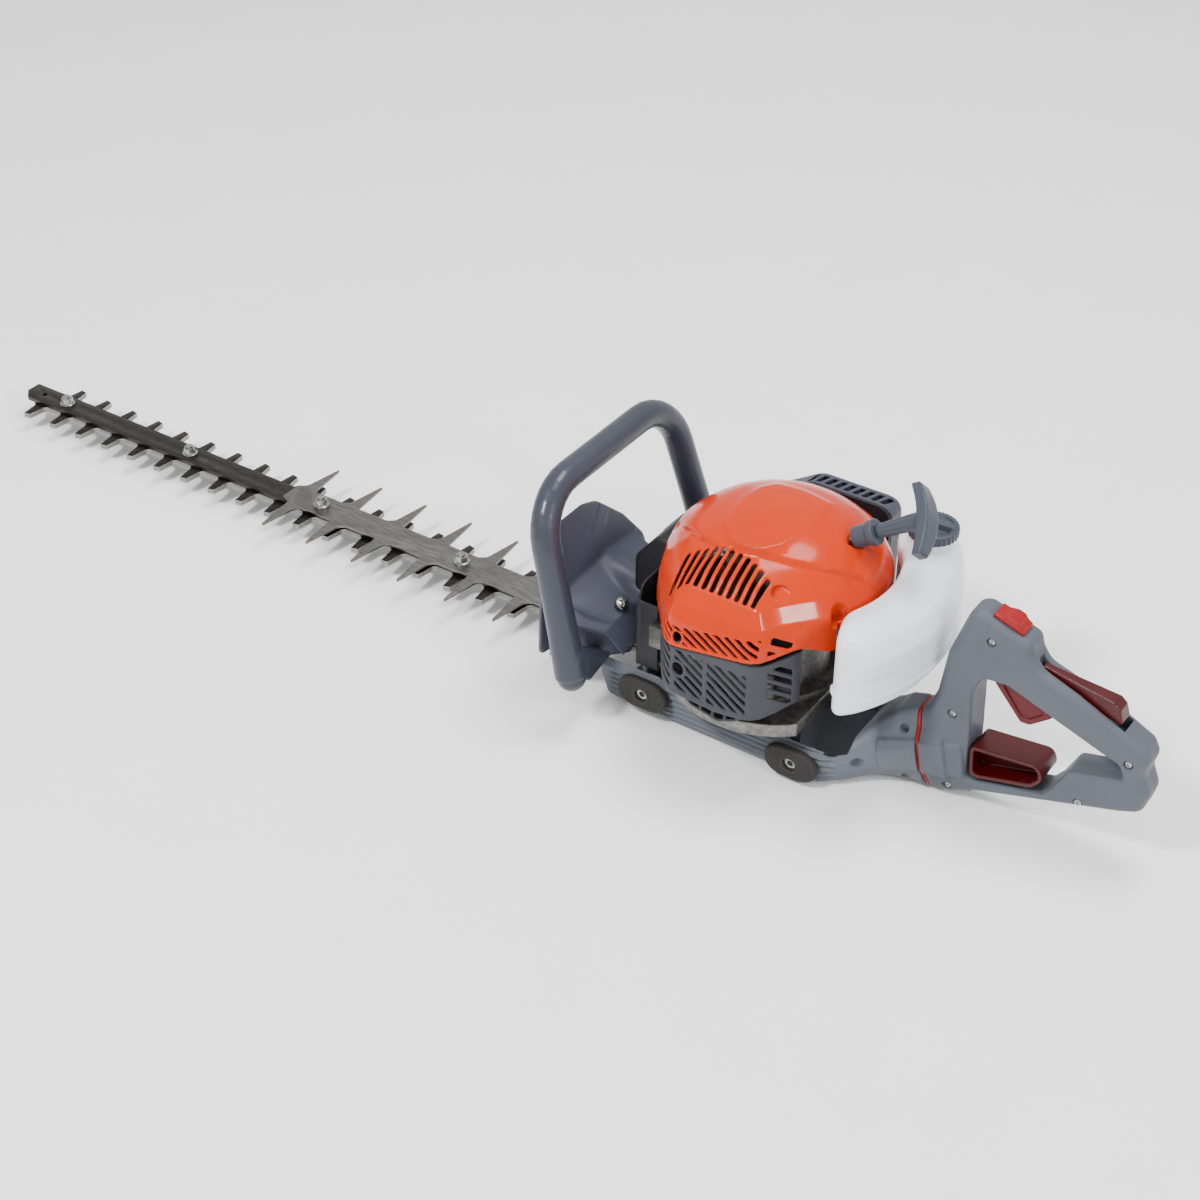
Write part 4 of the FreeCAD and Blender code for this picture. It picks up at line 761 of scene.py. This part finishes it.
def shield_form(p):
    x, y, z = p
    upright = polygon(y, z, rounded([
        (-95, 48, 8), (-93, 90, 20), (-84, 146, 22), (-64, 163, 18), (-32, 163, 26), (-12, 156, 30),
        (27, 122, 60), (58, 86, 24), (64, 72, 10), (56, 62, 6), (20, 60, 4), (-50, 60, 6), (-74, 46, 6)], 6))
    ripple = 0.8 * np.clip((np.abs(y + 10 - 0.5 * (z - 130)) - 9) / 2, 0, 1)
    plate = thick(upright, x + 166.3 + 0.5 * ripple, 1.6, 1.1)
    centre = np.interp(x, (-170, -163, -124, -113), (96, 93.5, 70, 46.5))
    edge_near = np.interp(x, (-168, -140, -114), (-88, -74, -52))
    droop = 0.035 * np.maximum(-y - 30, 0) ** 1.35
    slope = np.maximum(np.abs(z - centre + droop) * 0.80 - 1.6, np.maximum(edge_near - y, y - 44))
    slope = overlap(slope, -(x + 167), 1)
    slope = overlap(slope, x + SHIELD_REAR, 2)
    fold = np.interp(x, (-168, -140, -128, -113), (-80, -66, -55, -38))
    skirt = np.maximum(np.abs(y - fold - 0.18 * (z - 50)) - 1.5, np.maximum(z - centre - 1, 40 - z))
    skirt = overlap(np.maximum(skirt, -(x + 166)), x + SHIELD_REAR, 2)
    slope = merge(slope, skirt, 3)
    ridge = np.interp(x, (-166, -110), (82, 67))
    arch = length(y, np.maximum(z - ridge, 0))
    blister = np.maximum(arch - BLISTER_OUTER, np.maximum(-164 - x, x + 110.6))
    whole = merge(slope, np.maximum(blister, 52 - z), 5)
    whole = merge(whole, plate, 3)
    whole = remove(whole, np.maximum(arch - BLISTER_INNER, -160 - x), 1.0)
    return np.maximum(whole, 28 - z)


shape("shield_moulding", (-170, -97, 28), (-109, 66, 165), 0.85, shield_form,
      SHIELD_GREY, "chassis", "hand_guard")
for place, screw_y in (("near", -30), ("far", 30)):
    place_screw(f"shield_screw_{place}", (-127.9, screw_y, 77.8), (0.54, 0, 0.84), 6.4, "chassis")

# ---------------------------------------------------------------- rear handle

HANDLE_OUTLINE = rounded([
    (157, 4, 8), (190, 15, 20), (307, 51, 12), (324, 58, 10), (328, 76, 12), (321, 92, 12), (324, 105, 8),
    (319, 115, 10), (296, 126.5, 30), (262, 140, 30), (231, 150, 14), (224, 160, 12), (221, 171, 8),
    (178, 185, 9), (170, 181, 8), (156, 138, 16), (151, 98, 10), (143, 76, 3)])
HANDLE_WINDOW = rounded([
    (181, 110, 10), (188, 127.5, 9), (208, 129, 8), (287, 101, 20), (302, 96.5, 7), (307.5, 84, 3),
    (264.5, 73, 6), (253.5, 50.5, 4), (246.5, 41, 4), (192, 28, 5), (184, 29, 5), (183, 66, 20)])
HANDLE_SCREWS = ((191, 163), (167, 84), (309, 100), (276, 47), (170, 14))
HANDLE_SCREW_SEAT = -13.4
SLIDE_AT = (187, 182.9)
SLIDE_TILT = math.radians(18)


def slide_coordinates(x, z):
    """Distance along the stop switch's slide, and up from it."""
    x, z = x - SLIDE_AT[0], z - SLIDE_AT[1]
    along = x * math.cos(SLIDE_TILT) - z * math.sin(SLIDE_TILT)
    return along, x * math.sin(SLIDE_TILT) + z * math.cos(SLIDE_TILT)


def handle_form(p):
    x, y, z = p
    side = np.abs(y)
    body = thick(polygon(x, z, HANDLE_OUTLINE), y, 15.0, 8.0)
    window = thick(polygon(x, z, HANDLE_WINDOW), y, 40, 1)
    along, across, up = swivel_coordinates(p)
    section = polygon(across, up, SWIVEL_SECTION)
    collar = thick(section, along - 11, 9.2, 0.6)
    taper = np.clip((along - 2) / 30, 0, 1)
    neck = polygon(across * (1 + 0.35 * taper), up, SWIVEL_SECTION)
    neck = np.maximum(neck, np.maximum(1.8 - along, along - 34))
    collar = merge(collar, neck, 3)
    body = merge(body, collar, 6)
    body = body - BARREL_PROUD * barrel_band(along, up, side)
    body = remove(body, window, 3.5)
    body = overlap(body, 1.8 - along, 0.4)
    lever = polygon(x, z, rounded([(225, 141, 1), (299.4, 111, 1), (301, 140, 1), (226, 165, 1)]))
    wedge = side - np.interp(x, (226, 299), (3.9, 8.4))
    body = remove(body, np.maximum(lever, wedge), 0.6)
    trigger_room = polygon(x, z, rounded([
        (189, 100, 2), (240, 86, 2), (262, 100, 2), (258, 130, 4), (222, 145, 6), (194, 143, 4)]))
    body = remove(body, thick(trigger_room, y, 8.4, 0.6), 0.6)
    tongue_room = np.maximum(np.maximum(np.abs(x - 184) - 8, np.abs(z - 48.5) - 5.5), side - 5)
    body = remove(body, tongue_room, 0.5)
    body = remove(body, np.maximum(length(across, up) - 14.2, along - 12.5), 0.3)
    u, v = slide_coordinates(x, z)
    body = remove(body, np.maximum(np.maximum(np.abs(u - 15.5) - 18, -0.9 - v), side - 9.4), 0.5)
    body = remove(body, np.maximum(np.maximum(np.abs(u - 16) - 7, -7.5 - v), side - 4.6), 0.3)
    for x0, z0 in HANDLE_SCREWS:
        body = remove(body, rod(p, (x0, -20, z0), (x0, -12.4, z0), 3.7, 0.4), 0.9)
    seam = np.maximum(side - 0.28, -(body + 0.7))
    return remove(body, seam, 0.3)


shape("rear_handle_moulding", (140, -25, 2), (329, 25, 186), 0.85, handle_form,
      HANDLE_GREY, "rear_handle", "rear_handle_left", "rear_handle_right")
for index, (x0, z0) in enumerate(HANDLE_SCREWS):
    replaced = ("rear_handle_screws",) if index == 0 else ()
    spot = (x0, HANDLE_SCREW_SEAT, z0)
    place_screw(f"handle_screw_{index}", spot, (0, -1, 0), 2.9, "rear_handle", *replaced)


def switch_form(p):
    x, y, z = p
    u, v = slide_coordinates(x, z)
    side = rounded([
        (0, -0.6, 0.5), (27, -0.6, 0.5), (27, 2.0, 1.5), (22, 3.4, 2), (18.5, 6.2, 1.5), (12.5, 6.2, 2),
        (6, 3.0, 4), (0, 2.6, 1.2)])
    cap = thick(polygon(u, v, side), y, 8.2, 0.8)
    foot = np.maximum(np.maximum(np.abs(u - 13.2) - 2.6, np.abs(v + 2.4) - 2.4), np.abs(y) - 4)
    grip = np.maximum(np.abs(np.mod(u, 1.6) - 0.8) - 0.3, np.maximum(np.abs(u - 15.5) - 3.2, 5.7 - v))
    return remove(np.minimum(cap, foot), grip, 0.2)


shape("stop_slider", (186, -9, 172), (216, 9, 190), 0.5, switch_form, RED, "switch", "stop_switch")


def trigger_form(p):
    x, y, z = p
    side = rounded([
        (196, 135, 5), (195, 122, 3), (219, 94.5, 3), (227, 95, 4), (244, 109, 4), (240, 119, 4),
        (208, 138, 5)])
    body = thick(polygon(x, z, side), y, 7.5, 2.2)
    inner = rounded([
        (201, 128, 3), (203, 122, 2), (219, 101, 2), (226, 101, 2), (237, 110, 3), (234, 116, 3)])
    pocket = thick(polygon(x, z, inner), np.abs(y) - 9.0, 3.2, 0.6)
    return remove(body, pocket, 0.8)


shape("trigger_shaped", (194, -8.5, 93), (245, 8.5, 139), 0.6, trigger_form,
      TRIGGER, "trigger", "throttle_trigger")


def lockout_form(p):
    x, y, z = p
    side = rounded([
        (229, 151, 1), (260, 147, 20), (289, 143.5, 3), (294, 139, 2), (298, 127, 2), (262, 133, 6),
        (229, 143, 1)])
    wide = np.interp(x, (227, 298.5), (3.0, 7.5))
    return thick(polygon(x, z, side), y * 7.5 / wide, 7.5, 1.3)


shape("lockout_shaped", (228, -8.5, 126), (299, 8.5, 152), 0.6, lockout_form,
      WINE, "lockout", "lockout_lever")


def loop_form(p):
    x, y, z = p
    outer = rounded([(184.5, 60, 5), (186, 33.5, 5), (192, 31, 5), (238, 43, 8), (247, 54, 9), (242, 66, 8)])
    inner = rounded([
        (188, 57.5, 3), (189.5, 36.5, 3), (193, 35, 3), (236, 46.5, 5), (243.5, 54.5, 6), (239.5, 63, 5)])
    ring = thick(polygon(x, z, outer), y, 14.5, 1.2)
    hole = polygon(x, z, inner)
    web = np.maximum(hole, np.abs(y - 3) - 1.2)
    notch = length(x - 219, z - 58) - 6.0
    web = remove(web, notch, 0.5)
    ring = merge(remove(ring, hole, 1.0), web, 0.8)
    tongue = block(p, (174, -4, 46), (188, 4, 51), 0.6)
    return merge(ring, tongue, 1.0)


shape("swivel_lock_loop", (173, -15.5, 30), (249, 15.5, 68), 0.65, loop_form,
      WINE, "swivel_lock", "rotation_lever")

# ---------------------------------------------------------------- starter handle

PULL = PULL_LINE / np.linalg.norm(PULL_LINE)
ACROSS = np.array((-0.497, 0.730, 0.465))
ACROSS = ACROSS - PULL * (ACROSS @ PULL)
ACROSS = ACROSS / np.linalg.norm(ACROSS)
BESIDE = np.cross(PULL, ACROSS)


def pull_coordinates(p):
    """Distances from the rope guide along the grip's length, its width and the pull."""
    offset = [p[i] - GUIDE[i] for i in range(3)]
    return [sum(offset[i] * axis[i] for i in range(3)) for axis in (ACROSS, BESIDE, PULL)]


def grip_form(p):
    a, b, c = pull_coordinates(p)
    share = np.clip(a / 30, -1, 1)
    wide = 9.0 - 2.8 * share * share
    bowed = c - (63.5 - 7.0 * share * share)
    bar = thick(np.maximum(np.abs(a) - 30.0, np.abs(b) - wide), bowed, 4.2 + 0.8 * (1 - share * share), 1.6)
    radius = length(a, b)
    stem = np.interp(c, (20, 24, 60), (5.4, 5.6, 7.0))
    flutes = 0.35 * np.cos(10 * np.arctan2(b, a)) * np.clip((c - 25) / 3, 0, 1) * np.clip((56 - c) / 3, 0, 1)
    stem = np.maximum(radius - stem + flutes, np.maximum(20.6 - c, c - 63))
    return merge(bar, stem, 3)


shape("starter_grip_shaped", (72, -10, 196), (128, 49, 246), 0.7, grip_form,
      STARTER_GREY, "starter_grip", "starter_handle")


def bush_form(p):
    a, b, c = pull_coordinates(p)
    radius = length(a, b)
    body = thick(radius - 9.0, c - 9.5, 9.5, 0.8)
    collar = thick(radius - 10.6, c - 16.6, 3.2, 1.0)
    return remove(merge(body, collar, 1), radius - 2.3, 0.6)


shape("rope_bush", (54, 1, 183), (84, 26, 214), 0.6, bush_form, STARTER_GREY, "chassis", "rope_guide")

# ---------------------------------------------------------------- covers at the front and side


PLUG_COVER_MIDDLE = 14


def plug_cover_form(p):
    x, y, z = p
    side = rounded([
        (-127.5, 83, 6), (-104, 83, 4), (-100, 119, 3), (-92.8, 120, 2), (-92.8, 143.5, 5),
        (-106, 143.5, 12), (-127.5, 117, 12)])
    flat = polygon(x, z, side)
    body = thick(flat, y - PLUG_COVER_MIDDLE, 28.0, 4)
    ridge = np.maximum(np.abs(y - 30) - 1.0, flat - 0.6)
    body = merge(body, ridge, 1)
    inner = rounded([
        (-125.5, 76, 6), (-102, 76, 4), (-97, 121, 3), (-86, 122, 2), (-86, 141, 5),
        (-105, 141, 10), (-125.5, 116, 10)])
    return remove(body, thick(polygon(x, z, inner), y - PLUG_COVER_MIDDLE, 25.8, 3), 0.5)


shape("plug_cover_shell", (-129, -15, 82), (-92, 43, 145), 0.8, plug_cover_form,
      DARK, "chassis", "plug_cover")


KNOB_AT = (24, 140)
KNOB_LOBES = 8


def filter_form(p):
    x, y, z = p
    outer = rounded([(-66, 74, 8), (50, 74, 8), (50, 169, 14), (-24, 169, 22), (-66, 143, 14)])
    flat = polygon(x, z, outer)
    body = thick(flat, y - 100.0, 16.0, 5)
    body = overlap(body, 96 - y, 0.4)
    body = remove(body, np.maximum(np.abs(flat + 9) - 0.8, 115.2 - y), 0.8)
    hollow = thick(flat + 2.6, y - 98.0, 15.2, 3)
    body = remove(body, hollow, 0.5)
    for i in range(9):
        x0 = -28 + 8.5 * i
        slot = np.abs(x - x0 - 0.35 * (y - 105)) - 2.4
        slot = np.maximum(slot, np.maximum(np.abs(y - 104.5) - 5.5, 150 - z))
        body = remove(body, slot, 0.8)
    for i in range(5):
        louvre = np.maximum(np.abs(z - 100 - 9 * i) - 1.6, np.maximum(np.abs(x + 6) - 20, 112 - y))
        body = remove(body, louvre, 0.6)
    knob_x, knob_z = KNOB_AT
    body = remove(body, rod(p, (knob_x, 100, knob_z), (knob_x, 130, knob_z), 5, 0.4), 0.4)
    return remove(body, rod(p, (-50, 100, 88), (-50, 130, 88), 3.4, 0.4), 0.4)


shape("filter_shell", (-67, 95, 73), (51, 117, 170), 0.85, filter_form,
      FILTER_GREY, "chassis", "air_filter_cover")


def knob_form(p):
    x, y, z = p
    x, z = x - KNOB_AT[0], z - KNOB_AT[1]
    turn = np.arctan2(z, x)
    radius = length(x, z)
    grip = thick(radius - 10.4 - 0.8 * np.cos(KNOB_LOBES * turn), y - 120.2, 3.8, 1.2)
    stem = thick(radius - 4.4, y - 113.4, 3.4, 0.4)
    return np.minimum(grip, stem)


shape("filter_knob_lobed", (12, 109, 128), (36, 125, 152), 0.55, knob_form, DARK, "knob", "filter_knob")


def baffle_form(p):
    """A ribbed sheet in front of the cylinder, behind the hand guard, with a hole for the spark plug."""
    x, y, z = p
    outline = rounded([
        (-57, 46, 3), (57, 46, 3), (57, 100, 12), (36, 124, 10), (-50, 124, 10), (-57, 104, 8)])
    sheet = thick(polygon(y, z, outline), x + 95.5, 1.2, 0.6)
    wall = np.maximum(np.abs(y + 55) - 1.4, np.maximum(np.abs(x + 86) - 10, np.abs(z - 78) - 32))
    ribs = np.abs(np.mod(y + 4, 14) - 7) - 0.9
    ribs = np.maximum(ribs, np.maximum(np.abs(x + 97) - 3, np.abs(z - 84) - 34))
    ribs = np.maximum(ribs, np.abs(y) - 50)
    bore = length(y, z - 88) - 9
    return remove(merge(merge(sheet, wall, 1.5), ribs, 1.0), bore, 1)


shape("air_baffle", (-101, -59, 44), (-75, 59, 126), 0.8, baffle_form, DARK, "chassis")

# ---------------------------------------------------------------- metal and remaining CAD nodes

body_of = {n: b for b, names in frame["record"]["behaviour"]["bodies"].items() for n in names}
EDGED = {
    "upper_blade": (BLADE, 0.7), "lower_blade": (BLADE, 0.7), "tooth_guard": (COMB, 0.7),
    "guide_bar": (BAR, 0.6), "blade_nuts": (ZINC, 0.5), "engine_base": (CAST, 1.2),
    "gear_case_upper": (CAST, 1.0), "gear_case_lower": (CAST, 1.0), "muffler": (STEEL, 1.0),
    "plug_cap": (RUBBER, 0.8), "engine_posts": (DARK, 0.6), "base_skid": (FRAME_GREY, 1.0),
    "choke_lever": (DARK, 0.6), "chassis_screws": (ZINC, 0.4),
}
for node, (material, width) in EDGED.items():
    crisp(node, material, width, body_of[node])
KEPT = {
    "blade_bolts": ZINC, "gear_pin": STEEL, "drive_gear": STEEL, "pinion_drum": STEEL, "clutch_shoes": STEEL,
    "crankshaft": STEEL, "ball_bearings": STEEL, "crankcase": CAST, "cylinder": CAST, "piston": CAST,
    "connecting_rod": STEEL, "flywheel": CAST, "ignition_coil": DARK, "spark_plug": ZINC,
    "intake_manifold": DARK, "carburetor": CAST, "primer_bulb": TANK, "air_filter": FOAM,
    "filter_plate": DARK, "starter_rope": ROPE, "starter_pulley": DARK, "starter_post": DARK,
    "recoil_spring": STEEL, "swivel_spigot": DARK,
}
for node, material in KEPT.items():
    nodes[node].data.materials.clear()
    nodes[node].data.materials.append(material)
bpy.data.objects.remove(SCREW)

# ---------------------------------------------------------------- floor, light and camera


def stage_plane(name, size, level, material):
    mesh = bpy.data.meshes.new(name)
    corners = [(-size, -size, level), (size, -size, level), (size, size, level), (-size, size, level)]
    mesh.from_pydata(corners, [], [(0, 1, 2, 3)])
    plane = bpy.data.objects.new(name, mesh)
    bpy.context.scene.collection.objects.link(plane)
    mesh.materials.append(material)


stage_plane("floor", 12.0, -0.0005, plastic("floor_white", (252, 252, 252), 0.8, 60.0, 0.0001, 0.0, 0.01))


def area_light(name, spot, target, size, power):
    light = bpy.data.lights.new(name, "AREA")
    light.shape = "DISK"
    light.size = size
    light.energy = power
    lamp = bpy.data.objects.new(name, light)
    lamp.location = spot
    lamp.rotation_euler = (Vector(target) - Vector(spot)).to_track_quat("-Z", "Y").to_euler()
    bpy.context.scene.collection.objects.link(lamp)


ENGINE_FRONT = (-0.1, 0, 0.05)
area_light("key", (-0.6, -1.6, 2.2), ENGINE_FRONT, 0.42, 58)
area_light("top", (0.2, 0.6, 2.6), ENGINE_FRONT, 1.1, 50)
area_light("side", (1.8, -0.6, 1.3), (0.1, 0, 0.1), 0.3, 14)
world = bpy.data.worlds.new("studio")
world.use_nodes = True
world.node_tree.nodes["Background"].inputs["Color"].default_value = (1.0, 1.0, 1.0, 1)
world.node_tree.nodes["Background"].inputs["Strength"].default_value = 1.0
bpy.context.scene.world = world

# The camera's place, direction and lens are those fitted to the photograph.
AZIMUTH, ELEVATION = math.radians(34.237), math.radians(36.02)
CAMERA_AT = (0.669, -1.234, 1.131)
LENS, SENSOR = 64.65, 36.0
right = Vector((math.cos(AZIMUTH), math.sin(AZIMUTH), 0))
back = Vector((math.sin(AZIMUTH) * math.cos(ELEVATION), -math.cos(AZIMUTH) * math.cos(ELEVATION),
               math.sin(ELEVATION)))
camera_data = bpy.data.cameras.new("camera")
camera_data.lens = LENS
camera_data.sensor_width = SENSOR
camera = bpy.data.objects.new("camera", camera_data)
turned = Matrix((right, back.cross(right), back)).transposed().to_4x4()
camera.matrix_world = Matrix.Translation(CAMERA_AT) @ turned
bpy.context.scene.collection.objects.link(camera)
bpy.context.scene.camera = camera
